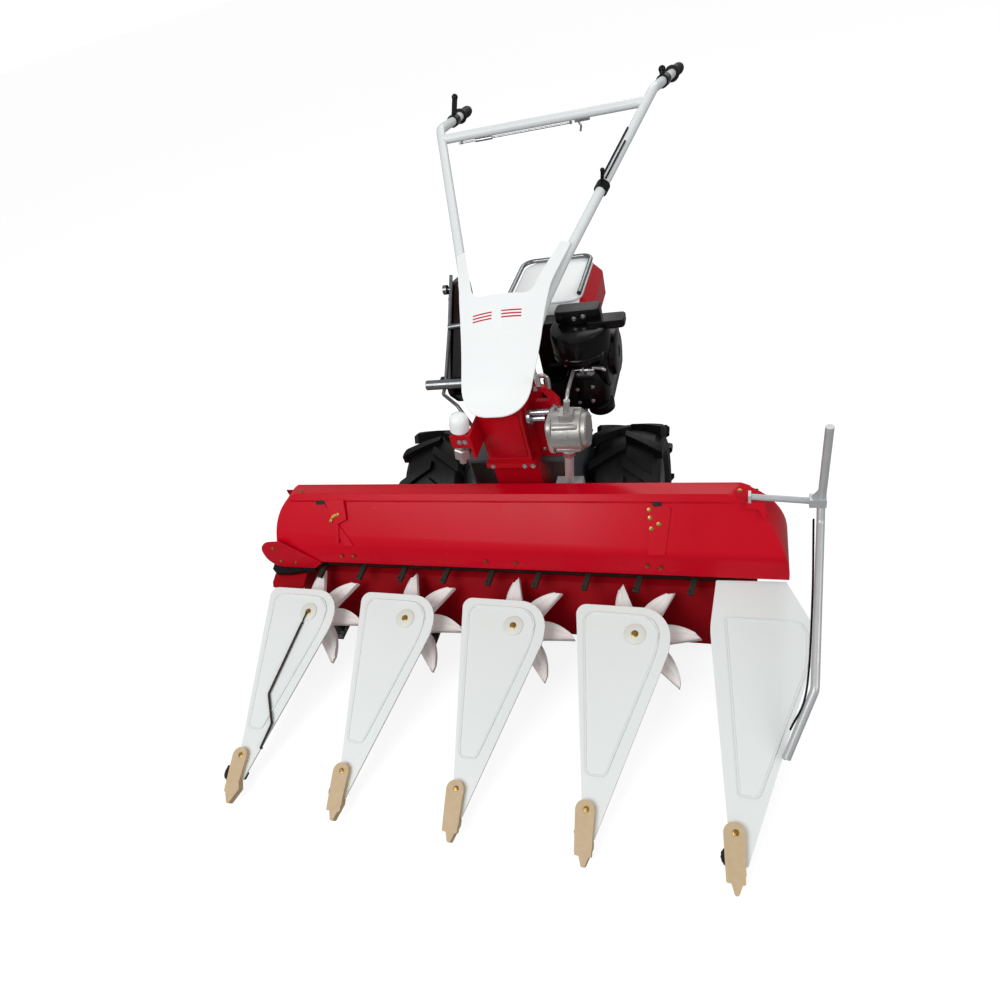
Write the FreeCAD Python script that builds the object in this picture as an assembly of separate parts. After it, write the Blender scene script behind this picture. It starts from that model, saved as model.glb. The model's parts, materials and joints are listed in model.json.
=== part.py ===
"""Walk-behind reaper: a two-wheel tractor with a side-throwing reaper header.

Millimetres, +Z up. The machine drives towards -Y, so +X is the operator's left hand.
The model is drawn about the ground point below the tips of the crop dividers, on the
machine's middle plane, and is moved at the end so that its origin is the middle of its
footprint on the ground.
"""
import FreeCAD, Part
import math
import os
from FreeCAD import Vector

# ---------------------------------------------------------------- driving sizes
# crop dividers and star wheels
ROW_SPACING = 300.0
DIVIDER_COUNT = 5
TIP_HEIGHT = 16.0
DIVIDER_SLOPE = 19.0
PLATE_THICK = 5.0
PANEL_RAISE = 2.5
STAR_AXIS_SIDE = 70.0
STAR_AXIS_RUN = 509.0
STAR_DROP = 38.0
STAR_TIP_RADIUS = 146.0
STAR_HUB_RADIUS = 46.0
STAR_ARMS = 7
STAR_ARM_HALF = 25.0
STAR_TIP_WIDTH = 13.0
STAR_THICK = 14.0
STAR_PHASES = (6.0, 6.5, 6.5, 16.0)
STAR_POST_RADIUS = 9.0
RUNNING_FIT = 0.05
CURVED_GAP = 0.3
CAP_RADIUS = 24.0
CAP_THICK = 3.0
NOSE_LENGTH = 139.0
NOSE_WIDTH = 44.0
NOSE_THICK = 12.0
ARM_WIDTH = 26.0
ARM_THICK = 8.0
SKID_DISC_SIDE = (-50.0, -32.0, -20.0, -14.0, -12.0)
SKID_DISC_RADIUS = 20.0
SKID_DISC_THICK = 9.0
SKID_DISC_LOW = 5.0

# header: deck, chain and hood
DECK_LEFT = -650.0
DECK_RIGHT = 640.0
DECK_EDGE_Y = 565.0
DECK_EDGE_Z = 48.0
DECK_BEND_Y = 650.0
DECK_BEND_Z = 160.0
SHEET = 3.0
REAR_WALL_Y = 757.0
REAR_WALL_LOW = 70.0
FINGER_LENGTH = 44.0
FINGER_WIDTH = 14.0
FINGER_THICK = 9.0
FINGER_LEAN = 12.0
CHAIN_WIDTH = 12.0
CHAIN_THICK = 14.0
CHAIN_RADIUS = 28.0
CHAIN_END_RIGHT = 542.0
CHAIN_END_LEFT = -605.0
FINGER_COUNT = 19
HOOD_LEFT = -652.0
HOOD_RIGHT = 706.0
HOOD_LOW_Y = 612.0
HOOD_LOW_Z = 246.0
HOOD_BEND_Y = 620.0
HOOD_BEND_Z = 307.0
HOOD_TOP_FRONT_Y = 701.0
HOOD_TOP_FRONT_Z = 425.0
HOOD_TOP_REAR_Z = 413.0
HOOD_LIP = 16.0
HOOD_CORNER_RIGHT = 165.0
HOOD_CORNER_LEFT = 95.0
RAIL_LEFT = -598.0
RAIL_RIGHT = 624.0
BEAM_SIZE = 46.0
BEAM_Y = 650.0
BEAM_LOW = 62.0
RIB_THICK = 6.0
RIB_FOOT = 14.0
RIB_PLACES = (-650.0, -330.0, 0.0, 330.0, 634.0)
LOBE_LEFT = -708.0
CHAIN_FRONT_RUN = 672.0
FINGER_DROP = 27.5
FINGER_START = 43.0
CHAIN_GUARD_GAP = 2.0
HITCH_HALF = 61.0
HITCH_THICK = 8.0
STRAP_THICK = 3.0
GUIDE_X = 766.0
GUIDE_TOP = 611.0
GUIDE_RADIUS = 8.5
WIRE_RADIUS = 3.0
WIRE_LINE = ((61.0, 476.0), (22.0, 278.0), (58.0, 206.0), (46.0, 144.0))

# cutter bar
CUTTER_Y = 596.0
CUTTER_LOW = 22.0
CUTTER_DEPTH = 42.0
CUTTER_THICK = 8.0
GUARD_PITCH = 50.0
GUARD_REACH = 16.0
GUARD_THICK = 5.0
KNIFE_THICK = 3.0
KNIFE_STROKE = 50.0
KNIFE_CLEAR = 0.5
CUTTER_HALF = 600.0
SKID_SHOE_X = 450.0
SKID_SHOE_WIDTH = 50.0

# wheels
AXLE_Y = 972.0
TYRE_RADIUS = 188.0
TYRE_WIDTH = 196.0
TRACK = 495.0
LUG_HEIGHT = 18.0
LUG_COUNT = 11
LUG_WIDTH = 26.0
LUG_SWEEP = 62.0
RIM_RADIUS = 98.0
RIM_WALL = 4.0
HUB_RADIUS = 32.0
AXLE_RADIUS = 15.0

# tractor, whose middle plane stands to the left of the header's
TRACTOR_X = 62.0
CASE_HALF = 61.0
CASE_FRONT_Y = 785.0
CASE_REAR_Y = 1010.0
CASE_LOW_Z = 105.0
CASE_TOP_Z = 640.0
FRONT_BOX_HALF = 56.0
FRONT_BOX_Y = 764.0
FRONT_BOX_LOW = 479.0
HOUSING_RADIUS = 36.0
HOUSING_END_X = 134.0
SIDE_PLATE_THICK = 6.0
BED_Z = 448.0
BED_THICK = 10.0
BED_REAR_Y = 1250.0
WEB_Y = (824.0, 837.0)
SHAFT_TOP = Vector(166.0, 730.0, 548.0)
SHAFT_LOW = Vector(132.0, 782.0, 394.0)
DRIVE_ROD_END = Vector(160.0, 905.0, 641.0)

# handlebar and console
HANDLE_RADIUS = 13.0
HANDLE_BEND = 70.0
CROSSBAR_SHARE = 0.918
ARM_LOW_HALF = 62.0
ARM_LOW_Y = 900.0
ARM_LOW_Z = 705.0
ARM_KNEE_HALF = 100.0
ARM_KNEE_Y = 1005.0
ARM_KNEE_Z = 783.0
ARM_MID_HALF = 136.0
ARM_MID_Y = 1112.0
ARM_MID_Z = 831.0
GRIP_HALF = 314.0
GRIP_BEND_Y = 1650.0
GRIP_Z = 1032.0
GRIP_END_HALF = 352.0
GRIP_END_Y = 2028.0
GRIP_END_Z = 984.0
GRIP_RADIUS = 16.5
GRIP_LENGTH = 120.0
CLAMP_RADIUS = 18.0
HAND_LEVER_RADIUS = 8.5
LEVER_RADIUS = 4.5
CABLE_RADIUS = 2.5
CONSOLE_LINE = (
    (734.0, 635.0), (799.0, 661.0), (850.0, 690.0), (899.0, 724.0),
    (950.0, 766.0), (1003.0, 803.0), (1060.0, 828.0), (1135.0, 858.0),
)
CONSOLE_CROWN = 26.0
CONSOLE_WIDE = 152.0
NOTCH_Y = 984.0

# engine
CRANK_Y = 1032.0
CRANK_Z = 610.0
CRANKCASE_X = (64.0, 215.0)
CRANKCASE_Y = (1020.0, 1249.0)
CRANKCASE_TOP = 612.0
FAN_RADIUS = 88.0
FAN_X = (215.0, 250.0)
DRUM_X = 168.0
DRUM_Y = 1000.0
DRUM_RADIUS = 73.0
DRUM_Z = (636.0, 712.0)
TANK_X = (-36.0, 158.0)
TANK_Y = (CRANKCASE_Y[0] + 79.0, CRANKCASE_Y[0] + 321.0)
TANK_Z = (628.0, 718.0)
TANK_WALL = 3.0
TANK_TOP_THICK = 8.0
GUARD_RADIUS = 6.0
BELT_GUARD_X = (-166.0, -151.0)
TANK_FLARE = 22.0
TANK_SHOULDER = 28.0

# ---------------------------------------------------------------- small helpers
SHAPES = {}


def node(name, *solids):
    """Keep the solids of one node, as a single solid or as a compound of solids."""
    SHAPES[name] = solids[0] if len(solids) == 1 else Part.makeCompound(list(solids))


def tractor_node(name, *solids):
    """A node drawn about the tractor's own middle plane."""
    node(name, *solids)
    SHAPES[name].translate(Vector(TRACTOR_X, 0, 0))


def fused(first, *others):
    """One clean solid from overlapping ones."""
    shape = first.fuse(list(others)) if others else first
    return shape.removeSplitter()


def block(x0, x1, y0, y1, z0, z1):
    return Part.makeBox(x1 - x0, y1 - y0, z1 - z0, Vector(x0, y0, z0))


def rod(radius, start, end):
    line = end - start
    return Part.makeCylinder(radius, line.Length, start, line)


def ring(outer, inner, start, end):
    return rod(outer, start, end).cut(rod(inner, start, end))


def rounded_outline(corners):
    """Points (u, v, radius) joined by straight runs and tangent arcs, as flat edges."""
    edges = []
    starts = []
    ends = []
    arcs = []
    count = len(corners)
    for i, (u, v, radius) in enumerate(corners):
        here = Vector(u, v, 0)
        before = Vector(*corners[i - 1][:2], 0)
        after = Vector(*corners[(i + 1) % count][:2], 0)
        to_before = (before - here).normalize()
        to_after = (after - here).normalize()
        half = to_before.getAngle(to_after) / 2
        cut_back = radius / math.tan(half)
        first = here + to_before * cut_back
        last = here + to_after * cut_back
        middle_way = (to_before + to_after).normalize()
        centre = here + middle_way * (radius / math.sin(half))
        starts.append(first)
        ends.append(last)
        arcs.append(centre - middle_way * radius)
    for i in range(count):
        if (ends[i] - starts[i]).Length > 1e-6:
            edges.append(Part.Arc(starts[i], arcs[i], ends[i]).toShape())
        following = starts[(i + 1) % count]
        if (following - ends[i]).Length > 1e-6:
            edges.append(Part.LineSegment(ends[i], following).toShape())
    return Part.Wire(edges)


def plate(corners, thick):
    """Flat plate from rounded corners, lying on z = 0 and rising by its thickness."""
    return Part.Face(rounded_outline(corners)).extrude(Vector(0, 0, thick))


def side_plate(corners, x0, x1):
    """Plate whose corners are (y, z, radius), standing between two X planes."""
    flat = plate(corners, x1 - x0)
    turn = FreeCAD.Matrix(0, 0, 1, x0, 1, 0, 0, 0, 0, 1, 0, 0, 0, 0, 0, 1)
    return flat.transformGeometry(turn)


def front_plate(corners, y0, y1):
    """Plate whose corners are (x, z, radius), standing between two Y planes."""
    flat = plate(corners, y1 - y0)
    turn = FreeCAD.Matrix(1, 0, 0, 0, 0, 0, -1, y1, 0, 1, 0, 0, 0, 0, 0, 1)
    return flat.transformGeometry(turn)


def folded_sheet(points, thick, x0, x1):
    """Bent sheet that follows (y, z) points, its thickness laid on its left side."""
    lower = [Vector(0, y, z) for y, z in points]
    normals = []
    for a, b in zip(lower, lower[1:]):
        run = (b - a).normalize()
        normals.append(Vector(0, -run.z, run.y))
    upper = []
    for i, point in enumerate(lower):
        near = normals[max(0, i - 1)]
        far = normals[min(i, len(normals) - 1)]
        mean = (near + far).normalize()
        upper.append(point + mean * (thick / mean.dot(near)))
    loop = lower + upper[::-1] + [lower[0]]
    face = Part.Face(Part.makePolygon(loop))
    face.translate(Vector(x0, 0, 0))
    return face.extrude(Vector(x1 - x0, 0, 0))


def pipe(radius, points, bend):
    """Round bar along points, with each corner an arc of the given bend radius."""
    edges = []
    here = points[0]
    for i in range(1, len(points) - 1):
        corner = points[i]
        back = (points[i - 1] - corner).normalize()
        ahead = (points[i + 1] - corner).normalize()
        half = back.getAngle(ahead) / 2
        cut_back = bend / math.tan(half)
        first = corner + back * cut_back
        last = corner + ahead * cut_back
        way = (back + ahead).normalize()
        middle = corner + way * (bend / math.sin(half) - bend)
        edges.append(Part.LineSegment(here, first).toShape())
        edges.append(Part.Arc(first, middle, last).toShape())
        here = last
    edges.append(Part.LineSegment(here, points[-1]).toShape())
    path = Part.Wire(edges)
    circle = Part.Circle(points[0], points[1] - points[0], radius).toShape()
    return path.makePipeShell([Part.Wire([circle])], True, False)


def mirrored(shape):
    return shape.mirror(Vector(0, 0, 0), Vector(1, 0, 0))


# ---------------------------------------------------------------- slope of the dividers
SLOPE = math.radians(DIVIDER_SLOPE)


def on_slope(shape):
    """Place what is drawn flat, with the run along +Y, on the dividers' slope."""
    placed = shape.copy()
    placed.rotate(Vector(0, 0, 0), Vector(1, 0, 0), DIVIDER_SLOPE)
    placed.translate(Vector(0, 0, TIP_HEIGHT))
    return placed


def slope_point(x, run, above=0.0):
    y = run * math.cos(SLOPE) - above * math.sin(SLOPE)
    z = TIP_HEIGHT + run * math.sin(SLOPE) + above * math.cos(SLOPE)
    return Vector(x, y, z)


def divider_tips():
    first = -ROW_SPACING * (DIVIDER_COUNT - 1) / 2
    return [first + ROW_SPACING * i for i in range(DIVIDER_COUNT)]


# ---------------------------------------------------------------- header parts
POST_HOLE = STAR_POST_RADIUS + CURVED_GAP


def divider_plate(tip_x):
    """Moulded plate with a raised panel, wide at the back, bored for its star post."""
    outline = [
        (-7, 62, 4), (-79, 577, 24), (152, 575, 70), (150, 478, 90), (16, 62, 4),
    ]
    panel = [
        (-13, 190, 12), (-56, 557, 28), (126, 555, 56), (123, 476, 40), (28, 190, 12),
    ]
    shape = plate(outline, PLATE_THICK)
    raised = plate(panel, PANEL_RAISE)
    raised.translate(Vector(0, 0, PLATE_THICK - PANEL_RAISE / 2))
    shape = fused(shape, raised)
    hole = rod(POST_HOLE, Vector(STAR_AXIS_SIDE, STAR_AXIS_RUN, -9), Vector(STAR_AXIS_SIDE, STAR_AXIS_RUN, 20))
    shape = shape.cut(hole)
    shape.translate(Vector(tip_x, 0, 0))
    return on_slope(shape)


def outer_divider(tip_x):
    """Large end divider that reaches up to the hood, with a folded-down outer skirt."""
    outline = [
        (-7, 62, 4), (-20, 142, 120), (-63, 535, 200), (-52, 652, 3), (100, 655, 3),
        (153, 556, 30), (149, 479, 40), (20, 62, 4),
    ]
    panel = [
        (3, 190, 8), (-29, 562, 8), (126, 562, 16), (141, 540, 16), (139, 470, 30), (40, 190, 12),
    ]
    shape = plate(outline, PLATE_THICK)
    raised = plate(panel, PANEL_RAISE)
    raised.translate(Vector(0, 0, PLATE_THICK - PANEL_RAISE / 2))
    shape = fused(shape, raised)
    shape.translate(Vector(tip_x, 0, 0))
    return on_slope(shape)


def divider_nose(tip_x, arrow):
    """Nylon nose: a strap with a round end and a point, arrow-shaped or plainly tapered."""
    half = NOSE_WIDTH / 2
    strap = [
        (-half + 2, 30, 4), (-half - 7, NOSE_LENGTH, 21), (half - 7, NOSE_LENGTH, 21),
        (half - 6, 30, 4),
    ]
    if arrow:
        point = [(0, 0, 5), (-half, 42, 3), (-half + 6, 62, 3), (half - 8, 62, 3), (half, 42, 3)]
    else:
        point = [(0, 0, 5), (-half + 5, 48, 8), (-half + 2, 62, 3), (half - 6, 62, 3), (half - 5, 48, 8)]
    flat_strap = plate(strap, NOSE_THICK)
    flat_point = plate(point, NOSE_THICK + 6)
    flat_point.translate(Vector(0, 0, -6))
    shape = fused(flat_strap, flat_point)
    shape.translate(Vector(tip_x, 0, PLATE_THICK))
    return on_slope(shape)


def star_wheel(tip_x, phase):
    """Wheel of curved arms with cut tips that rakes the crop into the chain's fingers."""
    centre = Vector(STAR_AXIS_SIDE, STAR_AXIS_RUN, 0)
    shape = Part.makeCylinder(STAR_HUB_RADIUS, STAR_THICK)
    reach = STAR_TIP_RADIUS
    for i in range(STAR_ARMS):
        root_a = Vector(STAR_HUB_RADIUS - 8, -STAR_ARM_HALF, 0)
        root_b = Vector(STAR_HUB_RADIUS - 8, STAR_ARM_HALF, 0)
        tip_a = Vector(reach * 0.972, -STAR_ARM_HALF, 0)
        tip_b = Vector(reach * 0.985, STAR_TIP_WIDTH - STAR_ARM_HALF, 0)
        side_a = Part.Arc(root_a, Vector(reach * 0.66, -STAR_ARM_HALF - 2, 0), tip_a).toShape()
        cut = Part.LineSegment(tip_a, tip_b).toShape()
        side_b = Part.Arc(tip_b, Vector(reach * 0.76, STAR_ARM_HALF / 2, 0), root_b).toShape()
        back = Part.LineSegment(root_b, root_a).toShape()
        arm = Part.Face(Part.Wire([side_a, cut, side_b, back])).extrude(Vector(0, 0, STAR_THICK))
        arm.rotate(Vector(0, 0, 0), Vector(0, 0, 1), phase + 360.0 * i / STAR_ARMS)
        shape = shape.fuse(arm)
    shape = shape.removeSplitter()
    bore = rod(STAR_POST_RADIUS + RUNNING_FIT, Vector(0, 0, -1), Vector(0, 0, STAR_THICK + 1))
    shape = shape.cut(bore)
    shape.translate(centre + Vector(tip_x, 0, -STAR_DROP - STAR_THICK))
    return on_slope(shape)


def deck_rear_z():
    return DECK_BEND_Z + (REAR_WALL_Y - DECK_BEND_Y) * math.tan(SLOPE)


def header_deck():
    """Platform sheet: a steep lip above the knife, then a floor under the chain."""
    points = [
        (DECK_EDGE_Y, DECK_EDGE_Z), (DECK_BEND_Y, DECK_BEND_Z), (REAR_WALL_Y, deck_rear_z()),
    ]
    return folded_sheet(points, SHEET, DECK_LEFT, DECK_RIGHT)


def header_rib(x):
    """Upright plate that joins cutter bar, beam, deck and rear wall."""
    lip_slope = (DECK_BEND_Z - DECK_EDGE_Z) / (DECK_BEND_Y - DECK_EDGE_Y)
    front = CUTTER_Y + CUTTER_DEPTH
    low = CUTTER_LOW + CUTTER_THICK
    points = [
        (front, low), (front, DECK_EDGE_Z + (front - DECK_EDGE_Y) * lip_slope),
        (DECK_BEND_Y, DECK_BEND_Z), (REAR_WALL_Y, deck_rear_z()),
        (REAR_WALL_Y, REAR_WALL_LOW), (BEAM_Y, low),
    ]
    face = Part.Face(Part.makePolygon([Vector(x, y, z) for y, z in points + points[:1]]))
    rib = face.extrude(Vector(RIB_THICK, 0, 0))
    hole = block(x - 1, x + RIB_THICK + 1, BEAM_Y, BEAM_Y + BEAM_SIZE, BEAM_LOW, BEAM_LOW + BEAM_SIZE)
    return rib.cut(hole)


def header_beam():
    """Square cross tube that carries the ribs and the two hitch arms."""
    outer = block(DECK_LEFT, DECK_RIGHT, BEAM_Y, BEAM_Y + BEAM_SIZE, BEAM_LOW, BEAM_LOW + BEAM_SIZE)
    low = BEAM_LOW + SHEET
    high = BEAM_LOW + BEAM_SIZE - SHEET
    inner = block(DECK_LEFT - 1, DECK_RIGHT + 1, BEAM_Y + SHEET, BEAM_Y + BEAM_SIZE - SHEET, low, high)
    return outer.cut(inner)


def rail_underside(y):
    """Height of the rail's lower face, which hood and rear wall reach up to."""
    front = HOOD_TOP_FRONT_Y - SHEET
    drop = (HOOD_TOP_FRONT_Z - HOOD_TOP_REAR_Z) / (REAR_WALL_Y + SHEET - front)
    return HOOD_TOP_FRONT_Z - SHEET - (y - front) * drop


def hood_body(grow, opening):
    """Form of the hood, grown outwards all round and stretched past its open sides."""
    front_y = HOOD_TOP_FRONT_Y + 10
    rear_y = REAR_WALL_Y + opening
    low_z = HOOD_LOW_Z - opening
    side = [
        (HOOD_LOW_Y - grow, low_z), (HOOD_BEND_Y - grow, HOOD_BEND_Z),
        (front_y - grow, rail_underside(front_y) + grow), (rear_y, rail_underside(rear_y) + grow), (rear_y, low_z),
    ]
    left = HOOD_LEFT - grow
    right = HOOD_RIGHT + grow
    face = Part.Face(Part.makePolygon([Vector(left - 1, y, z) for y, z in side + side[:1]]))
    extruded = face.extrude(Vector(right - left + 2, 0, 0))
    top = HOOD_TOP_FRONT_Z - SHEET + grow
    outline = [
        (left, low_z - 1, 0.5), (left, top, HOOD_CORNER_LEFT + grow),
        (right, top, HOOD_CORNER_RIGHT + grow), (right, low_z - 1, 0.5),
    ]
    return extruded.common(front_plate(outline, HOOD_LOW_Y - 10, rear_y + 5))


def header_hood():
    """Red cover over the chain: sloping front, flat top, large rounded end corners."""
    return hood_body(0, 0).cut(hood_body(-SHEET, 2 * SHEET))


def hood_lobe():
    """Side plate that covers the throw-out end of the chain."""
    outline = [
        (LOBE_LEFT, 222, 44), (LOBE_LEFT, 322, 50), (HOOD_LEFT + 24, 330, 20),
        (HOOD_LEFT + 128, HOOD_LOW_Z, 5), (HOOD_LEFT + 95, 222, 10),
    ]
    front = HOOD_LOW_Y - CURVED_GAP - SHEET
    return front_plate(outline, front, front + SHEET)


def header_rail():
    """Top rail: a strip that wraps the hood's top edge and turns down with it at the ends."""
    skin = hood_body(SHEET, 0).cut(hood_body(0, 2 * SHEET))
    edge = block(RAIL_LEFT, RAIL_RIGHT, HOOD_TOP_FRONT_Y - 4, REAR_WALL_Y, HOOD_TOP_FRONT_Z - HOOD_LIP - 60, HOOD_TOP_FRONT_Z + 5)
    return skin.common(edge)


def header_rear_wall():
    return block(DECK_LEFT, DECK_RIGHT, REAR_WALL_Y, REAR_WALL_Y + SHEET, REAR_WALL_LOW,
                 rail_underside(REAR_WALL_Y) - 20)


def finger_path_point(along):
    """Point and outward way on the chain's loop, at a distance along it."""
    front_run = CHAIN_FRONT_RUN
    straight = CHAIN_END_RIGHT - CHAIN_END_LEFT
    turn = math.pi * CHAIN_RADIUS
    along = along % (2 * straight + 2 * turn)
    mid_run = front_run + CHAIN_RADIUS
    if along < straight:
        return CHAIN_END_RIGHT - along, front_run, -90.0
    along -= straight
    if along < turn:
        angle = -90.0 - math.degrees(along / CHAIN_RADIUS)
        rad = math.radians(angle)
        x = CHAIN_END_LEFT + CHAIN_RADIUS * math.cos(rad)
        return x, mid_run + CHAIN_RADIUS * math.sin(rad), angle
    along -= turn
    if along < straight:
        return CHAIN_END_LEFT + along, front_run + 2 * CHAIN_RADIUS, 90.0
    along -= straight
    angle = 90.0 - math.degrees(along / CHAIN_RADIUS)
    rad = math.radians(angle)
    x = CHAIN_END_RIGHT + CHAIN_RADIUS * math.cos(rad)
    return x, mid_run + CHAIN_RADIUS * math.sin(rad), angle


def racetrack(radius, low, thick):
    """Flat body with two round ends, about the chain's middle line."""
    mid = CHAIN_FRONT_RUN + CHAIN_RADIUS
    corners = [
        (CHAIN_END_LEFT - radius, mid - radius, radius - 0.01), (CHAIN_END_RIGHT + radius, mid - radius, radius - 0.01),
        (CHAIN_END_RIGHT + radius, mid + radius, radius - 0.01), (CHAIN_END_LEFT - radius, mid + radius, radius - 0.01),
    ]
    shape = plate(corners, thick)
    shape.translate(Vector(0, 0, low))
    return shape


def conveyor_chain():
    """Fixed loop of chain with its pushing fingers, parallel to the star wheels."""
    low = -FINGER_DROP - CHAIN_THICK / 2
    outer = racetrack(CHAIN_RADIUS + CHAIN_WIDTH / 2, low, CHAIN_THICK)
    inner = racetrack(CHAIN_RADIUS - CHAIN_WIDTH / 2, low - 1, CHAIN_THICK + 2)
    shape = outer.cut(inner)
    straight = CHAIN_END_RIGHT - CHAIN_END_LEFT
    pitch = (2 * straight + 2 * math.pi * CHAIN_RADIUS) / FINGER_COUNT
    for i in range(FINGER_COUNT):
        x, run, angle = finger_path_point(FINGER_START + pitch * i)
        finger = Part.makeBox(FINGER_LENGTH + CHAIN_WIDTH / 2, FINGER_WIDTH, FINGER_THICK,
                              Vector(0, -FINGER_WIDTH / 2, -FINGER_DROP - FINGER_THICK / 2))
        finger.rotate(Vector(0, 0, 0), Vector(0, 0, 1), angle - FINGER_LEAN)
        finger.translate(Vector(x, run, 0))
        shape = shape.fuse(finger)
    return on_slope(shape.removeSplitter())


def chain_rail():
    """Bar between the two runs of the chain, standing on the deck, with its sprockets."""
    inner = CHAIN_RADIUS - CHAIN_WIDTH / 2 - CURVED_GAP
    mid = CHAIN_FRONT_RUN + CHAIN_RADIUS
    floor = deck_top_below_slope()
    top = -FINGER_DROP + CHAIN_THICK / 2 + CHAIN_GUARD_GAP
    bar = Part.makeBox(CHAIN_END_RIGHT - CHAIN_END_LEFT, 2 * inner, top - floor,
                       Vector(CHAIN_END_LEFT, mid - inner, floor))
    ends = [rod(inner, Vector(x, mid, floor), Vector(x, mid, top)) for x in (CHAIN_END_LEFT, CHAIN_END_RIGHT)]
    return on_slope(fused(bar, *ends))


def deck_top_below_slope():
    """Height of the deck's upper face in the dividers' sloping frame (negative)."""
    rise = (DECK_BEND_Z - TIP_HEIGHT) * math.cos(SLOPE) - DECK_BEND_Y * math.sin(SLOPE)
    return rise + SHEET


def chain_guard():
    """Flat strip over the chain, from the hood's lower edge to the rear wall."""
    low = -FINGER_DROP + CHAIN_THICK / 2 + CHAIN_GUARD_GAP
    front = CHAIN_FRONT_RUN - CHAIN_WIDTH / 2
    rear = CHAIN_FRONT_RUN + 2 * CHAIN_RADIUS + CHAIN_WIDTH
    guard = Part.makeBox(DECK_RIGHT - DECK_LEFT - 20, rear - front, SHEET, Vector(DECK_LEFT + 10, front, low))
    return on_slope(guard)


def cutter_bar():
    """Steel bar with a row of pointed fingers that the knife runs over."""
    low = CUTTER_LOW
    shape = block(-CUTTER_HALF, CUTTER_HALF, CUTTER_Y, CUTTER_Y + CUTTER_DEPTH + RIB_FOOT, low, low + CUTTER_THICK)
    top = low + CUTTER_THICK
    count = int(2 * CUTTER_HALF / GUARD_PITCH)
    for i in range(count):
        x = -CUTTER_HALF + GUARD_PITCH * (i + 0.5)
        points = [(x - 11, CUTTER_Y + 1), (x + 11, CUTTER_Y + 1), (x + 4, CUTTER_Y - GUARD_REACH), (x - 4, CUTTER_Y - GUARD_REACH)]
        face = Part.Face(Part.makePolygon([Vector(u, v, top - GUARD_THICK) for u, v in points + points[:1]]))
        shape = shape.fuse(face.extrude(Vector(0, 0, GUARD_THICK)))
    return shape.removeSplitter()


def knife():
    """Reciprocating knife: a flat back with three-cornered sections."""
    half = CUTTER_HALF - KNIFE_STROKE / 2
    low = CUTTER_LOW + CUTTER_THICK + KNIFE_CLEAR
    rear = CUTTER_Y + CUTTER_DEPTH - 6
    shape = block(-half, half, rear - 16, rear, low, low + 2 * KNIFE_THICK)
    count = int(2 * half / GUARD_PITCH)
    first = -GUARD_PITCH * count / 2
    for i in range(count):
        x = first + GUARD_PITCH * (i + 0.5)
        points = [(x - 24, rear - 15), (x + 24, rear - 15), (x + 24, CUTTER_Y + 6), (x + 5, CUTTER_Y - 12),
                  (x - 5, CUTTER_Y - 12), (x - 24, CUTTER_Y + 6)]
        face = Part.Face(Part.makePolygon([Vector(u, v, low) for u, v in points + points[:1]]))
        shape = shape.fuse(face.extrude(Vector(0, 0, KNIFE_THICK)))
    return shape.removeSplitter()


def skid_shoe(x):
    """Curved steel shoe below the cutter bar that the header rests on."""
    low = 0.0
    top = CUTTER_LOW
    points = [(CUTTER_Y + 2, top - 6), (CUTTER_Y + 22, low), (REAR_WALL_Y - 75, low), (REAR_WALL_Y - 40, 16)]
    half = SKID_SHOE_WIDTH / 2
    sheet = folded_sheet(points, 4.0, x - half, x + half)
    stand = block(x - half, x + half, CUTTER_Y + 24, CUTTER_Y + CUTTER_DEPTH + RIB_FOOT, 3.5, top)
    return fused(sheet, stand)


def star_foot(tip_x):
    """Foot plate under the cutter bar that a star post stands on."""
    x = tip_x + STAR_AXIS_SIDE
    front = post_foot(x).y - 24
    return block(x - 20, x + 20, front, CUTTER_Y + CUTTER_DEPTH, CUTTER_LOW - ARM_THICK, CUTTER_LOW)


def post_foot(x):
    """Where a star post's axis meets the top of its foot plate."""
    top = slope_point(x, STAR_AXIS_RUN, 0)
    way = slope_point(x, STAR_AXIS_RUN, -1) - top
    return top + way * ((top.z - CUTTER_LOW) / -way.z)


def star_post(tip_x):
    """Fixed post on its foot, which carries a star wheel and its divider plate."""
    x = tip_x + STAR_AXIS_SIDE
    plate_top = PLATE_THICK + PANEL_RAISE / 2
    cap_low = slope_point(x, STAR_AXIS_RUN, plate_top)
    top = slope_point(x, STAR_AXIS_RUN, plate_top + CAP_THICK)
    collar_top = slope_point(x, STAR_AXIS_RUN, -STAR_DROP - STAR_THICK - 2)
    foot = post_foot(x)
    low = foot + (foot - top).normalize() * 4
    cap = rod(CAP_RADIUS, cap_low, top)
    return fused(star_foot(tip_x), rod(STAR_POST_RADIUS, low, top), rod(STAR_POST_RADIUS + 6, low, collar_top), cap)


def divider_arm(tip_x, disc_side):
    """Bent bar from below the cutter bar to the nose, with a dished skid disc at its bend."""
    front = slope_point(tip_x, 64, -ARM_THICK)
    low = CUTTER_LOW - ARM_THICK
    half = ARM_WIDTH / 2
    top_front = slope_point(tip_x, 130, -ARM_THICK)
    points = [
        (front.y, front.z), (top_front.y, top_front.z),
        (CUTTER_Y - 60, low), (CUTTER_Y + CUTTER_DEPTH, low),
    ]
    bar = folded_sheet(points, ARM_THICK, tip_x - half, tip_x + half)
    disc_y = (front.y + top_front.y) / 2 - 12
    disc_x = tip_x + disc_side
    disc_low = Vector(disc_x, disc_y, SKID_DISC_LOW)
    disc = rod(SKID_DISC_RADIUS, disc_low, disc_low + Vector(0, 0, SKID_DISC_THICK))
    web = block(disc_x - 3, tip_x - half + 10, disc_y - 9, disc_y + 9, SKID_DISC_LOW, front.z + 6)
    return fused(bar, web, disc)


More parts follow.
